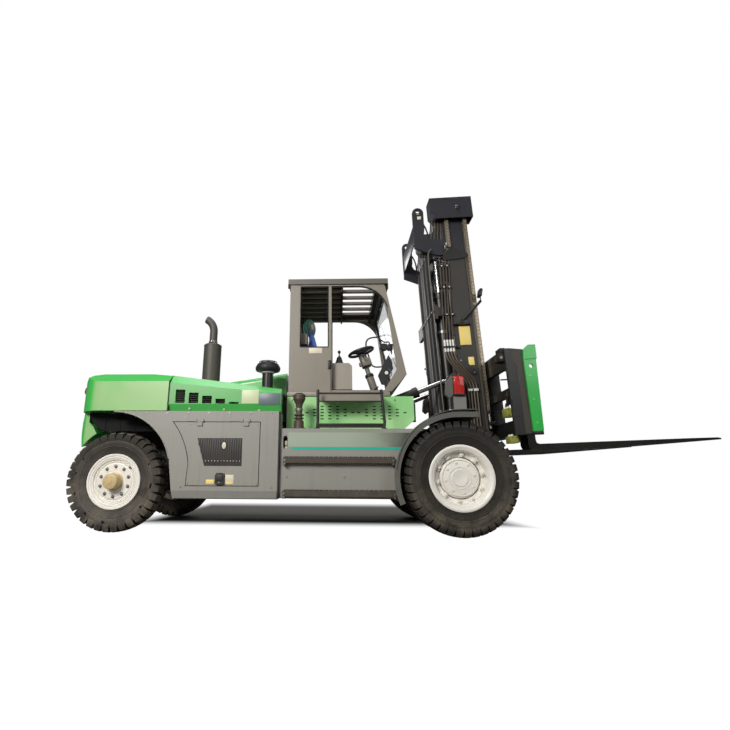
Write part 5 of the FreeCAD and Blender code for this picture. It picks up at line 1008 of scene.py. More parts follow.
def intake_details():
    bm = bmesh.new()
    at = ahead(-2.28, -0.8, 0)
    # hood of the cap, the pale bands under it and at the foot, clamp bands between them
    lathe(bm, [(0.128, 1.9655), (0.152, 1.9705), (0.1595, 1.992), (0.1595, 2.012), (0.1525, 2.03),
        (0.15, 2.012), (0.15, 1.992), (0.126, 1.973)], at, "Z")
    lathe(bm, [(0.0, 2.094), (0.028, 2.094), (0.028, 2.102), (0.022, 2.108), (0.0, 2.108)], at, "Z", 24)
    for r, z in ((0.113, 2.088), (0.087, 2.094)):
        lathe(bm, [(r - 0.006, z - 0.004), (r + 0.006, z - 0.004), (r + 0.004, z + 0.003),
            (r - 0.004, z + 0.003)], at, "Z")
    fins(bm, at, 16, (0.156, -0.006, 1.984), (0.1615, 0.006, 2.018))
    lathe(bm, [(0.0695, 1.938), (0.083, 1.938), (0.085, 1.946), (0.083, 1.957), (0.0695, 1.957)], at, "Z", 40,
        2)
    band(bm, at, 1.69, 0.008, (0.0695, 0.0735, 0.0745), 36, 1)
    lathe(bm, [(0.0695, 1.704), (0.08, 1.704), (0.083, 1.716), (0.08, 1.734), (0.0695, 1.734)], at, "Z", 36,
        2)
    finished("intake_bands", bm, "chassis", "black_plastic dull_steel white_paint")
    bm = bmesh.new()
    at = ahead(-1.845, -1.02, 0)
    for z in (1.29, 1.33, 1.37):
        lathe(bm, [(0.04, z - 0.012), (0.056, z - 0.008), (0.06, z), (0.056, z + 0.008), (0.04, z + 0.012)],
            at, "Z", 32)
    lathe(bm, [(0.034, 1.42), (0.046, 1.42), (0.047, 1.45), (0.034, 1.45)], at, "Z", 28, 1)
    lathe(bm, [(0.0, 1.6215), (0.052, 1.6215), (0.056, 1.63), (0.04, 1.64), (0.0, 1.642)], at, "Z", 28)
    fins(bm, at, 12, (0.05, -0.005, 1.596), (0.076, 0.005, 1.62))
    lathe(bm, [(0.05, 1.1955), (0.098, 1.1955), (0.098, 1.207), (0.06, 1.211), (0.05, 1.225)], at, "Z", 36)
    bolt_ring(bm, at, 6, 0.084, 1.206, 0.006, 0.5)
    finished("filler_rings", bm, "chassis", "filler_brown dull_steel")


# ---------------------------------------------------------------- cab
CAB_FRONT = (-0.477, 1.936), (-0.730, 3.205)   # foot and head of its slanting front (x, z)


def slant_x(z):
    """Outer face of the cab front at a height, measured from the front axle."""
    (foot_x, foot_z), (head_x, head_z) = CAB_FRONT
    return foot_x + (z - foot_z) / (head_z - foot_z) * (head_x - foot_x)


def cab_trim():
    bm = bmesh.new()
    # rubber round the quarter window and along the doorway
    window = ((-1.87, 2.312), (-1.87, 3.172), (-1.497, 3.172), (-1.497, 2.312))
    for (x0, z0), (x1, z1) in zip(window, window[1:] + window[:1]):
        rod(bm, (x0, CAB - 0.001, z0), (x1, CAB - 0.001, z1), 0.0065, 10)
    arc = [(-1.085 + 0.4 * math.cos(a), 2.772 + 0.4 * math.sin(a))
        for a in [math.radians(90 - i * 76 / 10) for i in range(11)]]
    line = [(-1.452, 1.716), (-1.452, 3.172)]
    tube(bm, [(x, CAB - 0.001, z) for x, z in line], 0.0075, 0, 2, 1)
    tube(bm, [(x, CAB - 0.001, z) for x, z in [(-1.452, 3.172)] + arc], 0.0065, 0, 2, 1)
    # joint of the lower panel, its latch, the blank plate, screws
    block(bm, (-1.4655, -0.7445, 1.714), (-1.457, -0.741, 2.012), 0.0006)
    block(bm, (-1.499, -0.761, 2.009), (-1.458, -0.741, 2.126), 0.004, 1)
    block(bm, (-1.49, -0.769, 2.03), (-1.467, -0.76, 2.105), 0.004, 1)
    block(bm, (-1.752, -0.745, 2.224), (-1.577, -0.7415, 2.298), 0.001, 2)
    for x, z in ((-1.97, 1.77), (-1.97, 2.25), (-1.97, 3.12), (-1.52, 1.77), (-1.52, 2.25), (-0.7, 1.76),
            (-0.56, 1.96), (-0.77, 3.1)):
        rod(bm, (x, -0.7455, z), (x, -0.741, z), 0.007, 12, 3, 0.0015)
    # black strips above and below the doorway tread, painted shade of the gaps there, and the kick bar
    # between the handrails
    block(bm, (-1.618, -1.003, 1.63), (-0.812, -0.99, 1.6535), 0.002)
    block(bm, (-1.618, -1.003, 1.536), (-0.812, -0.99, 1.55), 0.002)
    block(bm, (-1.613, -1.13, 1.208), (-0.81, -1.11, 1.26), 0.004, 5)
    # edge of the floor, gutter under the roof and its hooked ends
    block(bm, (-2.03, -0.7465, 1.648), (-0.7, -0.741, 1.704), 0.002, 4)
    block(bm, (-2.045, -0.756, 3.196), (-0.684, -0.741, 3.206), 0.002, 1)
    block(bm, (-2.048, -0.756, 3.15), (-2.03, -0.72, 3.206), 0.003, 1)
    block(bm, (-0.696, -0.756, 3.132), (-0.68, -0.72, 3.206), 0.003, 1)
    # lining and ribs under the roof
    both(bm)
    block(bm, (-1.955, -0.69, 3.186), (-1.31, 0.69, 3.196), 0, 1)
    for i in range(7):
        y = -0.6 + i * 0.2
        block(bm, (-1.955, y - 0.03, 3.14), (-1.3, y + 0.03, 3.188), 0.006, 4)
    block(bm, (-1.318, -0.69, 3.12), (-1.292, 0.69, 3.2), 0.003, 1)
    block(bm, (-0.852, -0.69, 3.13), (-0.826, 0.69, 3.2), 0.003, 1)
    # screen rubber and the wiper
    corners = [(slant_x(z) - 0.022, y, z) for y, z in ((-0.627, 2.046), (-0.627, 3.115), (0.627, 3.115),
        (0.627, 2.046))]
    for start, end in zip(corners, corners[1:] + corners[:1]):
        rod(bm, start, end, 0.013, 12)
    rod(bm, (slant_x(2.01) + 0.002, -0.05, 2.01), (slant_x(2.01) + 0.04, -0.05, 2.016), 0.014, 14, 1, 0.002)
    tube(bm, [(slant_x(2.01) + 0.034, -0.05, 2.015), (slant_x(2.3) + 0.03, 0.08, 2.3),
        (slant_x(2.62) + 0.016, 0.22, 2.62)], 0.005, 1, 3, 6, 1)
    block(bm, (-0.006, -0.009, -0.33), (0.006, 0.009, 0.33), 0.002, 1,
        Matrix.Translation(ahead(slant_x(2.62) + 0.006, 0.22, 2.62))
        @ Matrix.Rotation(math.radians(-11.3), 4, "Y") @ Matrix.Rotation(math.radians(-10), 4, "X"))
    finished("cab_trim", bm, "chassis",
        "black_rubber black_plastic cream_plate dull_steel taupe_paint beam_brown")


def cab_inside():
    bm = bmesh.new()
    # ribbed mat and the grab handle on the far side
    block(bm, (-1.96, -0.69, 1.723), (-0.76, 0.69, 1.727), 0.001)
    for i in range(34):
        x = -1.48 + i * 0.021
        block(bm, (x, -0.66, 1.7262), (x + 0.009, 0.66, 1.729), 0)
    tube(bm, [(-0.7, 0.7, 2.89), (-0.79, 0.69, 2.885), (-0.9, 0.68, 2.86), (-0.905, 0.68, 2.7),
        (-0.855, 0.68, 2.56), (-0.825, 0.68, 2.39), (-0.75, 0.685, 2.365), (-0.64, 0.7, 2.385)], 0.0125, 1, 4)
    # side board in the nose with its knob and strap, and the lamp above it
    plate(bm, ((-0.7, 2.215), (-0.842, 1.94), (-0.8, 1.822), (-0.76, 1.812), (-0.64, 2.03), (-0.668, 2.15)),
        -0.69, -0.64, 0.004, 1)
    rod(bm, (-0.733, -0.712, 1.965), (-0.733, -0.688, 1.965), 0.024, 20, 2, 0.004)
    tube(bm, [(-0.7, -0.695, 1.905), (-0.665, -0.705, 1.935), (-0.668, -0.705, 1.985),
        (-0.705, -0.695, 2.015)], 0.006, 3)
    lathe(bm, [(0.0, -0.024), (0.042, -0.024), (0.052, -0.01), (0.052, 0.03), (0.0, 0.034)],
        (-0.745, -0.6, 2.345), "Y", 28, 1)
    block(bm, (-0.7, -0.64, 2.3), (-0.63, -0.56, 2.38), 0.006, 1)
    tube(bm, [(-0.79, -0.61, 2.445), (-0.735, -0.615, 2.395), (-0.68, -0.62, 2.425), (-0.655, -0.625, 2.33),
        (-0.65, -0.64, 2.24)], 0.01, 1)
    # instrument hood behind the wheel, its gauges, column collar and levers
    lean = math.atan2(COLUMN_RUN, COLUMN_RISE)
    pod = Matrix.Translation(ahead(-0.945, 0, 2.285)) @ Matrix.Rotation(-lean, 4, "Y")
    block(bm, (-0.075, -0.11, -0.07), (0.06, 0.11, 0.045), 0.016, 4, pod)
    block(bm, (-0.115, -0.03, -0.04), (-0.06, 0.03, 0.02), 0.01, 4, pod)
    for y in (-0.055, 0.0, 0.055):
        rod(bm, pod @ Vector((-0.0755, y, 0.01)), pod @ Vector((-0.0735, y, 0.01)), 0.021, 20, 1)
    for s in (-1, 1):
        rod(bm, pod @ Vector((-0.02, s * 0.1, 0.02)), pod @ Vector((-0.05, s * 0.215, 0.055)), 0.0055, 10, 1)
        rod(bm, pod @ Vector((-0.048, s * 0.208, 0.053)), pod @ Vector((-0.06, s * 0.25, 0.066)),
            (0.012, 0.009), 14, 1, 0.002)
    way = COLUMN_WAY
    foot = ahead(-0.792, 0, 1.724)
    rod(bm, foot + way * 0.35, foot + way * 0.395, (0.066, 0.06), 28, 1, 0.004)
    for k in range(5):
        rod(bm, foot + way * (0.015 + k * 0.016), foot + way * (0.029 + k * 0.016), 0.074 - k * 0.003, 26, 1,
            0.003)
    # pedals
    for y, w in ((-0.24, 0.045), (-0.13, 0.045), (0.17, 0.055)):
        tilt = Matrix.Translation(ahead(-0.85, y, 1.83)) @ Matrix.Rotation(math.radians(-38), 4, "Y")
        block(bm, (-0.06, -w, -0.006), (0.06, w, 0.006), 0.003, 1, tilt)
        for k in range(6):
            block(bm, (-0.05 + k * 0.018, -w * 0.85, 0.005), (-0.042 + k * 0.018, w * 0.85, 0.01), 0, 1, tilt)
        rod(bm, (-0.845, y, 1.822), (-0.8, y, 1.724), 0.009, 12, 3)
    # joystick boot and its knob, switches on the console
    lathe(bm, [(0.0, 2.1165), (0.062, 2.1165), (0.062, 2.126), (0.05, 2.134), (0.054, 2.144), (0.042, 2.16),
        (0.046, 2.168), (0.034, 2.188), (0.037, 2.196), (0.025, 2.218), (0.012, 2.234), (0.0075, 2.238),
        (0.0075, 2.275), (0.0, 2.275)], (-1.35, -0.555, 0), "Z", 28, 1)
    lathe(bm, [(0.0, 2.268), (0.01, 2.268), (0.02, 2.28), (0.021, 2.296), (0.014, 2.31), (0.0, 2.313)],
        (-1.35, -0.555, 0), "Z", 24, 1)
    block(bm, (-1.4405, -0.6425, 1.74), (-1.1795, -0.4675, 1.76), 0.002, 1)
    for x in (-1.415, -1.235):
        for z in (1.8, 2.06):
            rod(bm, (x, -0.644, z), (x, -0.6395, z), 0.006, 12, 3)
    for k in range(4):
        block(bm, (-1.3 + k * 0.022, -0.62, 2.0), (-1.286 + k * 0.022, -0.6, 2.1215), 0.002, 1)
    # box on the rear wall
    block(bm, (-1.9, -0.6, 2.392), (-1.785, -0.38, 2.545), 0.01, 4)
    block(bm, (-1.972, -0.54, 2.42), (-1.896, -0.44, 2.5), 0.004, 1)
    # seat runners and the adjusting bar
    for s in (-1, 1):
        block(bm, (-1.93, s * 0.19 - 0.02, 1.7845), (-1.52, s * 0.19 + 0.02, 1.8), 0.003, 3)
    tube(bm, [(-1.5, -0.16, 1.975), (-1.43, -0.15, 1.985), (-1.43, 0.0, 1.985), (-1.43, 0.15, 1.985),
        (-1.5, 0.16, 1.975)], 0.008, 3, 3, 6, 1)
    finished("cab_inside", bm, "chassis", "floor_mat black_plastic white_paint dull_steel taupe_paint")


def wheel_grip():
    """Thick grip over the steering wheel's ring, spoke covers and the pad in its middle."""
    bm = bmesh.new()
    way = COLUMN_WAY
    hub = ahead(-1.022, 0, 2.44)
    turn = Matrix.Translation(hub) @ way.to_track_quat("Z", "Y").to_matrix().to_4x4()
    before = set(bm.verts)
    grip = [(0.182 + u, v) for _, u, v in ring_of(14, 0.0215)]
    lathe(bm, grip, Vector(), "Z", 64)
    lathe(bm, [(0.0, -0.02), (0.074, -0.02), (0.082, 0.004), (0.066, 0.02), (0.0, 0.024)], Vector(), "Z", 36)
    lathe(bm, [(0.0, 0.022), (0.026, 0.022), (0.024, 0.028), (0.0, 0.029)], Vector(), "Z", 28, 1)
    move_new(bm, before, turn)
    axis = Vector((way.z, 0, -way.x))
    for a in (90, 210, 330):
        t = math.radians(a)
        out = axis * math.cos(t) + Vector((0, math.sin(t), 0))
        rod(bm, hub + out * 0.05, hub + out * 0.172, (0.024, 0.018), 16, 0, 0.003)
    for _, u, v in ring_of(12, 1):
        out = axis * u + Vector((0, v, 0))
        rod(bm, hub + out * 0.1815 - way * 0.0225, hub + out * 0.1815 - way * 0.014, 0.006, 8, 1)
    finished("wheel_grip", bm, "steering_wheel", "blue_black black_plastic")


def cab_fan():
    bm = bmesh.new()
    centre = ahead(-1.775, -0.35, 2.7)
    turn = Matrix.Translation(centre) @ Matrix.Rotation(math.radians(-28), 4, "Z")
    # bowl behind, cage of wires in front, blades, hub; the fan looks along its own +X
    bowl = [(0.0, -0.072), (0.04, -0.07), (0.085, -0.052), (0.118, -0.02), (0.128, 0.01), (0.128, 0.022),
        (0.121, 0.022), (0.112, -0.012), (0.08, -0.042), (0.036, -0.06), (0.0, -0.062)]
    before = set(bm.verts)
    lathe(bm, bowl, Vector(), "X", 40)
    for r, x in ((0.125, 0.026), (0.1, 0.044), (0.072, 0.054), (0.044, 0.058)):
        lathe(bm, [(r - 0.0018, x - 0.0018), (r + 0.0018, x - 0.0018), (r + 0.0018, x + 0.0018),
            (r - 0.0018, x + 0.0018)], Vector(), "X", 36, 2)
    for _, u, v in ring_of(24, 1):
        wire = [Vector((x, u * r, v * r)) for r, x in ((0.04, 0.058), (0.1, 0.045), (0.126, 0.024))]
        for start, end in zip(wire, wire[1:]):
            rod(bm, start, end, 0.0013, 6, 2)
    for i in range(4):
        blade = Matrix.Rotation(math.pi / 2 * i, 4, "X") @ Matrix.Rotation(math.radians(28), 4, "Z")
        block(bm, (-0.0015, -0.03, 0.022), (0.0015, 0.034, 0.098), 0.001, 3, blade)
    lathe(bm, [(0.0, 0.05), (0.034, 0.052), (0.038, 0.06), (0.03, 0.068), (0.0, 0.07)], Vector(), "X", 28, 2)
    rod(bm, Vector((-0.06, 0, 0)), Vector((0.05, 0, 0)), 0.016, 18, 3)
    move_new(bm, before, turn)
    # blue stand, its neck and foot on the box
    plate(bm, ((-1.8, 2.64), (-1.752, 2.655), (-1.7, 2.56), (-1.655, 2.4), (-1.79, 2.4), (-1.772, 2.52)),
        -0.4, -0.33, 0.01, 1)
    block(bm, (-1.8, -0.44, 2.385), (-1.64, -0.3, 2.402), 0.005, 1)
    block(bm, (-1.972, -0.42, 2.372), (-1.64, -0.31, 2.386), 0.003, 4)
    finished("cab_fan", bm, "chassis", "fan_teal fan_blue white_paint dull_steel black_plastic")


# ---------------------------------------------------------------- seat
VOXEL = 0.006
MOST_SWELL = 0.012             # furthest that the blown-up cloth may stand off its form
DOME = 0.010
STITCH_WIDTH = 0.007
CLOTH_FRAMES = 20
CLOTH = dict(quality=5, mass=0.4, use_pressure=True, uniform_pressure_force=4.0, tension_stiffness=18,
             compression_stiffness=18, shear_stiffness=8, bending_stiffness=1.0)


def apply_modifiers(piece):
    """Bakes a piece's modifiers into its own mesh."""
    graph = bpy.context.evaluated_depsgraph_get()
    graph.update()
    baked = bpy.data.meshes.new_from_object(piece.evaluated_get(graph), depsgraph=graph)
    piece.modifiers.clear()
    old = piece.data
    piece.data = baked
    bpy.data.meshes.remove(old)


def pillow(name, low, high, matrix, groove_lines):
    """A stuffed pad: a rounded form blown up as cloth, then its sewn channels pressed in."""
    bm = bmesh.new()
    block(bm, low, high, 0.022, 0, matrix)
    mesh = bpy.data.meshes.new(name)
    bmesh.ops.triangulate(bm, faces=bm.faces)
    bm.to_mesh(mesh)
    bm.free()
    piece = linked(name, mesh)
    bpy.context.view_layer.objects.active = piece
    remesh = piece.modifiers.new("remesh", "REMESH")
    remesh.mode = "VOXEL"
    remesh.voxel_size = VOXEL
    apply_modifiers(piece)
    start = [v.co.copy() for v in piece.data.vertices]
    cloth = piece.modifiers.new("cloth", "CLOTH")
    for key, value in CLOTH.items():
        setattr(cloth.settings, key, value)
    cloth.settings.effector_weights.gravity = 0.0
    cloth.collision_settings.use_self_collision = False
    cloth.point_cache.frame_start = 1
    cloth.point_cache.frame_end = CLOTH_FRAMES
    for number in range(1, CLOTH_FRAMES + 1):
        scene.frame_set(number)
    apply_modifiers(piece)
    scene.frame_set(1)
    inverse = matrix.inverted()
    middle = (Vector(low) + Vector(high)) / 2
    half = (Vector(high) - Vector(low)) / 2
    for vertex, old in zip(piece.data.vertices, start):
        move = vertex.co - old
        if move.length > MOST_SWELL:
            vertex.co = old + move.normalized() * MOST_SWELL
        local = inverse @ vertex.co - middle
        # domed top face, pressed in along the seams
        face = max(0.0, local.z / half.z)
        dome = (1 - (local.x / half.x) ** 2) * (1 - (local.y / half.y) ** 2)
        lift = DOME * face * max(0.0, dome)
        for axis, place, depth in groove_lines:
            gap = abs(local[axis] - place)
            lift -= depth * face * math.exp(-(gap / STITCH_WIDTH) ** 2)
        vertex.co = matrix @ (local + middle + Vector((0, 0, lift)))
    smooth = piece.modifiers.new("fine", "SUBSURF")
    smooth.levels = smooth.render_levels = 1
    apply_modifiers(piece)
    piece.data.materials.append(PAINTS["seat_cloth"])
    piece.data.polygons.foreach_set("use_smooth", [True] * len(piece.data.polygons))
    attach(piece, "chassis")
    return piece


def make_seat():
    grooves = [(1, -0.14, 0.01), (1, 0.14, 0.01), (0, -0.06, 0.008), (0, 0.06, 0.008)]
    pad = pillow("seat_pad", (-0.205, -0.232, -0.046), (0.205, 0.232, 0.046),
        Matrix.Translation(ahead(-1.685, 0, 2.057)), grooves)
    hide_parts("seat_cushion")
    shell = (Matrix.Translation(ahead(-1.893, 0, 2.264))
             @ Matrix.Rotation(math.radians(8.7), 4, "Y").inverted())
    back = pillow("seat_back_pad", (-0.24, -0.225, -0.029), (0.24, 0.225, 0.029),
        shell @ Matrix.Rotation(math.pi / 2, 4, "Y"), [(1, -0.13, 0.009), (1, 0.13, 0.009), (0, 0.06, 0.007)])
    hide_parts("seat_back")
    bm = bmesh.new()
    # shell behind the back pad and the arms that carry it
    block(bm, (-0.05, -0.222, -0.235), (-0.03, 0.222, 0.245), 0.008, 0, shell)
    for s in (-1, 1):
        block(bm, (-1.925, s * 0.238 - 0.006, 1.99), (-1.87, s * 0.238 + 0.006, 2.13), 0.003)
    finished("seat_shell", bm, "chassis", "black_plastic")


# ---------------------------------------------------------------- mast
def mast_pipes():
    bm = bmesh.new()
    # four steel pipes down the rail, their couplings at the clip, and the hoses below it
    for k in range(4):
        top, foot = 0.196 + 0.04 * k, 0.143 + 0.037 * k
        tube(bm, [(top - 0.02, -0.56, 3.64 - 0.012 * k), (top - 0.004, HOSE_Y, 3.625 - 0.012 * k),
            (top, HOSE_Y, 3.54 - 0.012 * k), ((top + foot) / 2, HOSE_Y, 3.0), (foot, HOSE_Y, 2.43)], 0.0095,
            0, 3, 4)
        for z0, z1, r, sides, bevel in ((2.435, 2.405, 0.0145, 6, 0), (2.405, 2.262, 0.0125, 14, 0.002),
                (2.3, 2.275, 0.0155, 6, 0)):
            rod(bm, (foot, HOSE_Y, z0), (foot, HOSE_Y, z1), r, sides, 1, bevel)
        low = 0.378 + 0.038 * k
        tube(bm, [(foot, HOSE_Y, 2.27), (foot + 0.004, HOSE_Y, 2.19), (foot + 0.07, -0.64, 2.08),
            (low - 0.08, -0.64, 1.96), (low, -0.64, 1.85), (low, -0.64, 1.7), (low - 0.004, -0.64, 1.4),
            (low - 0.01, -0.64, 1.1), (low - 0.02, -0.64, 0.9)], 0.0135, 2, 3, 5)
        if k % 2:
            block(bm, (low - 0.048, -0.664, 1.722), (low + 0.014, -0.65, 1.756), 0.004, 1)
        block(bm, (low - 0.021, -0.66, 1.24), (low + 0.013, -0.6405, 1.262), 0.003, 3)
    block(bm, (0.11, -0.652, 2.322), (0.3, -0.6405, 2.348), 0.003, 3)
    block(bm, (0.28, -0.652, 2.315), (0.335, RAIL + 0.001, 2.355), 0.003, 3)
    block(bm, (0.35, -0.6625, 1.73), (0.515, -0.659, 1.748), 0.001, 3)
    for z in (2.78, 3.18, 3.5):
        block(bm, (0.14, -0.648, z), (0.325, -0.62, z + 0.024), 0.003, 3)
        for k in range(2):
            bolt(bm, (0.21 + 0.076 * k, -0.6475, z + 0.012), 0.007, 0.007, 1)
    both(bm)
    leaned(bm)
    finished("mast_pipes", bm, "outer_mast", "pipe_steel white_paint hose_brown black_paint")


def mast_hoses():
    """Hoses clipped side by side to the back of the mast's two cross members."""
    bm = bmesh.new()
    spots = [(-0.445, 0.013, 1), (-0.56, 0.014, 1), (-0.592, 0.011, 2)]
    radii = (0.014, 0.01, 0.016, 0.012)
    y = -0.405
    for k in range(17):
        spots.append((y, radii[k % 4], (0, 2, 1, 2, 1)[k % 5]))
        y += radii[k % 4] + radii[(k + 1) % 4] + 0.008
    # three more behind the rail's back flange
    for y, mat in ((-0.554, 2), (-0.582, 1), (-0.608, 2)):
        tube(bm, [(0.24, y, 3.58), (0.268, y, 3.56), (0.284, y, 3.48), (0.284, y, 3.0), (0.284, y, 2.0),
            (0.284, y, 1.25), (0.262, y, 1.15)], 0.0125, mat, 3, 5)
    for z in (3.3, 2.5, 1.5):
        block(bm, (0.268, -0.624, z - 0.012), (0.302, -0.538, z + 0.012), 0.003, 3)
    for y, r, mat in spots:
        x = 0.06 - r - 0.001
        tube(bm, [(0.11, y, 3.8), (0.074, y, 3.78), (x, y, 3.69), (x, y, 3.0), (x, y, 2.0),
            (x, y, 1.3), (x + 0.01, y, 1.17), (0.11, y, 1.09)], r, mat, 3, 5)
        for z in (2.86, 1.3):
            block(bm, (x - r - 0.005, y - r - 0.003, z - 0.013), (0.0605, y + r + 0.003, z + 0.013), 0.003, 3)
            bolt(bm, (x - r - 0.0045, y, z), 0.006, 0.006, 4, way=(-1, 0, 0))
    leaned(bm)
    finished("mast_hoses", bm, "outer_mast", "hose_grey black_rubber hose_brown black_paint dull_steel")


def outer_mast_trim():
    bm = bmesh.new()
    # worn strip along the front flange, the dark groove behind it
    block(bm, (0.559, RAIL - 0.0022, 0.3), (0.589, RAIL + 0.001, 3.64), 0.0008)
    block(bm, (0.548, RAIL - 0.0012, 0.3), (0.559, RAIL + 0.001, 3.64), 0.0004, 1)
    # hooded cap on the rail's top
    plate(bm, ((0.24, 3.6), (0.262, 3.7), (0.31, 3.756), (0.38, 3.79), (0.47, 3.774), (0.6, 3.69),
        (0.6, 3.64), (0.56, 3.63), (0.44, 3.61), (0.33, 3.606)), -0.63, RAIL + 0.002, 0.003, 1)
    # chain anchor: cheeks either side of the strand, bolts across it, nuts above and below
    for y in (-0.576, -0.502):
        block(bm, (0.33, y, 3.69), (0.424, y + 0.008, 3.84), 0.002, 1)
    for x, z in ((0.3365, 3.786), (0.4165, 3.786), (0.3365, 3.705)):
        rod(bm, (x, -0.588, z), (x, -0.488, z), 0.0065, 12, 2)
        rod(bm, (x, -0.592, z), (x, -0.576, z), 0.015, 6, 3)
    for z in (3.85, 3.872):
        for y in (-0.586, -0.499):
            rod(bm, (0.33, y, z), (0.33, y, z + 0.018), 0.014, 6, 3)
    # shelf, blank plates, raised plate behind the hoses
    block(bm, (0.285, -0.664, 2.64), (0.512, RAIL + 0.001, 2.654), 0.002, 1)
    block(bm, (0.356, RAIL - 0.0028, 2.362), (0.504, RAIL + 0.001, 2.624), 0.0008, 5)
    block(bm, (0.436, RAIL - 0.0028, 2.081), (0.512, RAIL + 0.001, 2.191), 0.0008, 5)
    plate(bm, ((0.308, 2.168), (0.352, 2.176), (0.52, 2.01), (0.52, 1.95), (0.47, 1.948), (0.308, 2.11)),
        -0.624, RAIL + 0.001, 0.002, 1)
    for x, z in ((0.335, 2.145), (0.495, 1.975)):
        bolt(bm, (x, -0.6235, z), 0.009, 0.009, 3)
    # roller housings and stop pads low on the rail, grease points
    for z in (0.86, 1.33):
        rod(bm, (0.445, RAIL - 0.009, z), (0.445, RAIL + 0.001, z), 0.062, 36, 1, 0.004)
        for _, dx, dz in ring_of(6, 0.044):
            bolt(bm, (0.445 + dx, RAIL - 0.0085, z + dz), 0.0065, 0.007, 3)
    for z in (0.62, 1.8):
        rod(bm, (0.33, RAIL - 0.012, z), (0.33, RAIL + 0.001, z), 0.006, 10, 3)
    both(bm)
    # lamp on its arm, on the right-hand rail only
    block(bm, (0.4, -0.66, 2.652), (0.47, -0.62, 2.7), 0.004, 1)
    rod(bm, (0.42, -0.64, 2.705), (0.69, -0.64, 2.968), 0.0185, 16, 1, 0.004)
    rod(bm, (0.69, -0.64, 2.96), (0.69, -0.64, 3.04), 0.008, 12, 1)
    lamp = Matrix.Translation(ahead(0.69, -0.64, 3.078)) @ Matrix.Rotation(math.radians(14), 4, "Y")
    block(bm, (-0.022, -0.055, -0.055), (0.018, 0.055, 0.055), 0.01, 1, lamp)
    block(bm, (0.0175, -0.047, -0.047), (0.0225, 0.047, 0.047), 0.002, 4, lamp)
    leaned(bm)
    finished("outer_mast_trim", bm, "outer_mast",
        "warm_strip black_paint bright_steel dull_steel clear_glass yellow_plate")
    bm = bmesh.new()
    # flanges of the lift cylinders, and the clamps that hold them
    for z in (0.905, 3.105, 3.172):
        band(bm, LIFT_BARREL, z, 0.01, (0.0752, 0.088, 0.09), 40)
    for z in (1.5, 2.6):
        band(bm, LIFT_BARREL, z, 0.018, (0.0752, 0.08, 0.0815), 40, 1)
        block(bm, (0.255, -0.44, z - 0.018), (0.312, -0.41, z + 0.018), 0.003)
        bolt(bm, (0.285, -0.4405, z), 0.008, 0.009, 1)
    rod(bm, (0.19, -0.502, 0.98), (0.19, -0.545, 0.98), 0.016, 6, 1)
    tube(bm, [(0.19, -0.53, 0.98), (0.15, -0.545, 0.96), (0.11, -0.48, 0.82), (0.11, -0.3, 0.7),
        (0.13, -0.1, 0.66), (0.13, 0.0, 0.66)], 0.013, 2)
    both(bm)
    leaned(bm)
    finished("lift_barrel_bands", bm, "outer_mast", "black_paint dull_steel black_rubber")


def leaf_plate(bm, centre, along, y0, y1, length, height, mat):
    """One plate of a leaf chain: a waisted link with round ends."""
    side = Vector((-along.z, 0, along.x))
    ring = []
    for end in (1, -1):
        for i in range(5):
            a = math.radians(-80 + 40 * i)
            ring.append(along * end * (length / 2 + height / 2 * math.cos(a))
                + side * (end * height / 2 * math.sin(a)))
    shape = [bm.verts.new(centre + p + Vector((0, y0, 0))) for p in ring]
    drawn_out(bm, shape, (0, y1 - y0, 0), mat)


def leaf_chain():
    """Both lift chains, link by link: up the front, over the sheave, down the back."""
    bm = bmesh.new()
    r = (CHAIN_FRONT - CHAIN_BACK) / 2
    middle = (CHAIN_FRONT + CHAIN_BACK) / 2
    front_run = SHEAVE_AT - CHAIN_FOOT
    total = front_run + math.pi * r + SHEAVE_AT - CHAIN_BACK_FOOT
    count = round(total / CHAIN_PITCH)
    pitch = total / count

    def place(s):
        if s < front_run:
            return ahead(CHAIN_FRONT, 0, CHAIN_FOOT + s)
        a = (s - front_run) / r
        if a < math.pi:
            return ahead(middle + r * math.cos(a), 0, SHEAVE_AT + r * math.sin(a))
        return ahead(CHAIN_BACK, 0, SHEAVE_AT - (s - front_run - math.pi * r))

    pins = [place(i * pitch) for i in range(count + 1)]
    for i, (first, last) in enumerate(zip(pins, pins[1:])):
        along = (last - first).normalized()
        length = (last - first).length
        spots = (0, 2, 3, 5) if i % 2 else (1, 4)
        for k in spots:
            y0 = -0.559 + k * 0.008
            leaf_plate(bm, (first + last) / 2, along, y0, y0 + 0.0066, length, 0.052 if i % 2 else 0.056, 0)
    for pin in pins:
        rod(bm, pin + Vector((0, -0.56, 0)), pin + Vector((0, -0.511, 0)), 0.0105, 10, 1)
    both(bm)
    leaned(bm)
    piece = finished("leaf_chains", bm, "inner_mast", "chain_steel chain_pin")
    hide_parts("lift_chains")


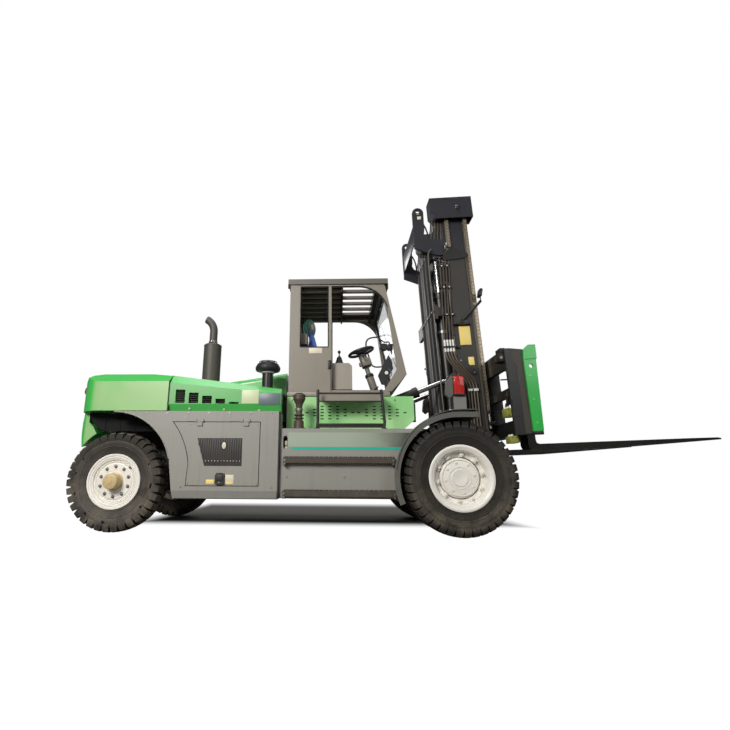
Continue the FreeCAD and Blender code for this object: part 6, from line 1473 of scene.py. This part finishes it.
def inner_mast_trim():
    bm = bmesh.new()
    # bolt and grease point of the sheave, lid seams, the blank sticker on the hose lug
    lathe(bm, [(0.0, -0.63), (0.024, -0.63), (0.03, -0.626), (0.038, -0.62), (0.038, -0.6135),
        (0.0, -0.6135)], (0.541, 0, 4.441), "Y", 28)
    rod(bm, (0.532, -0.634, 4.449), (0.532, -0.629, 4.449), 0.01, 12, 1)
    rod(bm, (0.548, -0.626, 4.378), (0.548, -0.6135, 4.378), 0.011, 6)
    block(bm, (0.146, -0.616, 4.582), (0.75, -0.613, 4.605), 0.001)
    for x in (0.175, 0.715):
        for z in (4.56, 4.33):
            rod(bm, (x, -0.6175, z), (x, -0.6135, z), 0.008, 12, 0, 0.001)
    block(bm, (-0.034, -0.5375, 4.318), (0.02, -0.5345, 4.366), 0.0006, 2)
    lathe(bm, [(0.0345, -0.54), (0.048, -0.54), (0.05, -0.538), (0.05, -0.5345), (0.0345, -0.5345)],
        (-0.02, 0, 4.452), "Y", 28)
    # hoses that come down from the head's back edge behind the lug
    for k in range(8):
        top, foot = 0.165 + 0.021 * k, 0.12 + 0.025 * k
        tube(bm, [(top, -0.492, 4.3), (top - 0.012, -0.492, 4.15), (foot - 0.012, -0.49, 4.02),
            (foot, -0.49, 3.86)], 0.0095, 5 if k % 2 else 3, 3, 5)
    tube(bm, [(-0.02, -0.5, 4.4), (0.035, -0.498, 4.29), (0.09, -0.494, 4.18), (0.11, -0.492, 4.04),
        (0.1, -0.49, 3.87)], 0.012, 3)
    # cross plate between the two lugs, wear strip beside the chain
    block(bm, (0.6, -0.507, 3.76), (0.64, -0.497, 4.29), 0.001, 4)
    # rod end plates of the lift cylinders
    lathe(bm, [(0.0, 3.699), (0.06, 3.699), (0.064, 3.694), (0.064, 3.682), (0.0455, 3.68), (0.0455, 3.678),
        (0.0, 3.678)], LIFT_BARREL, "Z", 36)
    for x in (0.15, 0.23):
        bolt(bm, (x, -0.5095, 3.7), 0.009, 0.01, 1)
    both(bm)
    block(bm, (-0.098, -0.506, 3.975), (-0.082, 0.506, 4.245), 0.003)
    block(bm, (-0.084, -0.506, 4.225), (-0.03, 0.506, 4.245), 0.003)
    leaned(bm)
    finished("inner_mast_trim", bm, "inner_mast",
        "blue_black dull_steel cream_plate black_rubber warm_strip hose_brown")


# ---------------------------------------------------------------- carriage
def carriage_trim():
    bm = bmesh.new()
    # bolts of the cheeks
    for z in (1.17, 1.56, 1.66, 1.96, 2.06):
        for x in (0.73, 0.87):
            bolt(bm, (x, -1.1899, z), 0.013, 0.006, way=(0, 1, 0))
    # yellow-green valve blocks behind the beams, their fittings and short hoses
    for z0, z1, cap in ((1.327, 1.43, 1.42), (1.017, 1.1, 1.14)):
        block(bm, (0.664, -1.085, z0), (0.762, -0.93, z1), 0.005, 2)
        block(bm, (0.758, -1.05, z0 + 0.01), (0.8, -0.94, cap), 0.003, 1)
        for y in (-1.055, -1.01, -0.965):
            rod(bm, (0.7, y, z1 - 0.001), (0.7, y, z1 + 0.022), 0.013, 6, 3)
        for x in (0.682, 0.744):
            for z in (z0 + 0.018, z1 - 0.018):
                bolt(bm, (x, -1.0845, z), 0.0055, 0.006)
    for k, y in enumerate((-1.055, -1.01, -0.965)):
        tube(bm, [(0.7, y, 1.44), (0.705, y, 1.49), (0.74, y, 1.52), (0.79, y, 1.5), (0.812, y, 1.42)], 0.009,
            4)
    # chain anchors: threaded bolt, nuts, clevis and its bracket
    x, low, high = CHAIN_FRONT, 1.44, 1.56
    rod(bm, (x, -0.535, low - 0.19), (x, -0.535, low + 0.02), 0.016, 16, 3)
    for k in range(9):
        rod(bm, (x, -0.535, low - 0.185 + k * 0.018), (x, -0.535, low - 0.177 + k * 0.018), 0.018, 16, 3)
    for z0, z1 in ((-0.205, -0.18), (-0.095, -0.068)):
        rod(bm, (x, -0.535, low + z0), (x, -0.535, low + z1), 0.026, 6)
    for y in (-0.566, -0.509):
        block(bm, (x - 0.018, y, low), (x + 0.018, y + 0.005, high), 0.004)
    block(bm, (x - 0.022, -0.566, low - 0.01), (x + 0.022, -0.504, low + 0.03), 0.004)
    block(bm, (x - 0.03, -0.585, low - 0.15), (x + 0.066, -0.485, low - 0.11), 0.004, 1)
    # brown flange of the cheek, its black pads, stepped bracket behind the top beam, tie rod, pipe ends
    plate(bm, ((0.808, 1.115), (0.9, 1.115), (0.9, 2.1), (0.79, 2.12), (0.77, 1.98), (0.808, 1.9)), -1.1935,
        -1.1895, 0.001, 6)
    for z0, z1 in ((1.3, 1.52), (1.7, 1.9)):
        plate(bm, ((0.7, z0), (0.785, z0 + 0.02), (0.785, z1 - 0.02), (0.7, z1)), -1.195, -1.1895, 0.002, 1)
    block(bm, (0.625, -1.16, 1.985), (0.7, -1.01, 2.08), 0.004, 1)
    block(bm, (0.65, -1.16, 2.075), (0.712, -1.01, 2.15), 0.004, 1)
    bolt(bm, (0.655, -1.1605, 2.03), 0.012, 0.01)
    rod(bm, (0.7, -0.93, 1.802), (0.88, -0.93, 1.802), 0.009, 12, 1)
    for z in (1.548, 1.586):
        rod(bm, (0.76, -1.05, z), (0.845, -1.05, z), 0.0105, 12, 3, 0.002)
        rod(bm, (0.74, -1.05, z), (0.762, -1.05, z), 0.015, 6)
    block(bm, (0.69, -1.066, 1.47), (0.742, -1.03, 1.622), 0.004, 1)
    block(bm, (0.884, -1.2205, 1.094), (0.998, -1.1905, 1.1365), 0.003, 1)
    block(bm, (0.902, -1.2225, 1.98), (1.036, -1.2195, 1.985), 0.0006, 1)
    # round bolts of the end plate
    for z in (1.23, 1.5, 1.78):
        bolt(bm, (0.94, -1.2205, z), 0.011, 0.008, 5)
    both(bm)
    leaned(bm)
    finished("carriage_trim", bm, "carriage",
        "dull_steel black_paint valve_green white_paint black_rubber green_paint beam_brown")


# ---------------------------------------------------------------- lamps
def lamps():
    bm = bmesh.new()
    # red warning lamp over the front wheel, its bracket and post
    block(bm, (0.098, -0.825, 1.662), (0.228, -0.735, 1.896), 0.012)
    block(bm, (0.084, -0.835, 1.646), (0.242, -0.725, 1.664), 0.004, 1)
    plate(bm, ((0.02, 1.64), (0.02, 1.72), (0.08, 1.8), (0.098, 1.8), (0.098, 1.64)), -0.79, -0.77, 0.003, 2)
    plate(bm, ((0.1, 1.29), (0.09, 1.42), (0.09, 1.648), (0.25, 1.648), (0.25, 1.5), (0.2, 1.24)), -0.795,
        -0.765, 0.004, 2)
    plate(bm, ((-0.01, 1.66), (0.01, 1.83), (0.08, 1.905), (0.094, 1.89), (0.094, 1.65), (0.04, 1.61)), -0.8,
        -0.74, 0.005, 3)
    both(bm)
    finished("warning_lamps", bm, "chassis", "red_lens black_rubber shade_grey fender_grey")
    bm = bmesh.new()
    # round tail lamp in the corner of the counterweight
    way = Vector((-0.4, -1.0, 0)).normalized()
    at = ahead(-4.575, -0.905, 1.69)
    turn = Matrix.Translation(at) @ way.to_track_quat("Y", "Z").to_matrix().to_4x4()
    before = set(bm.verts)
    lathe(bm, [(0.0, 0.016), (0.034, 0.014), (0.042, 0.006), (0.042, -0.03), (0.0, -0.03)], Vector(), "Y", 32)
    lathe(bm, [(0.041, 0.006), (0.052, 0.006), (0.054, 0.0), (0.054, -0.03), (0.041, -0.03)], Vector(), "Y",
        32, 1)
    move_new(bm, before, turn)
    both(bm)
    finished("tail_lamps", bm, "chassis", "red_lens black_rubber")


for make in (wheels, doors, side_box_trim, hood_trim, wheel_wells, fender_lips, step_trim,
             slot_shade_and_bolts, stack_details, intake_details, cab_trim, cab_inside, wheel_grip, cab_fan,
             make_seat, mast_pipes, mast_hoses, outer_mast_trim, leaf_chain, inner_mast_trim,
             carriage_trim, lamps):
    make()
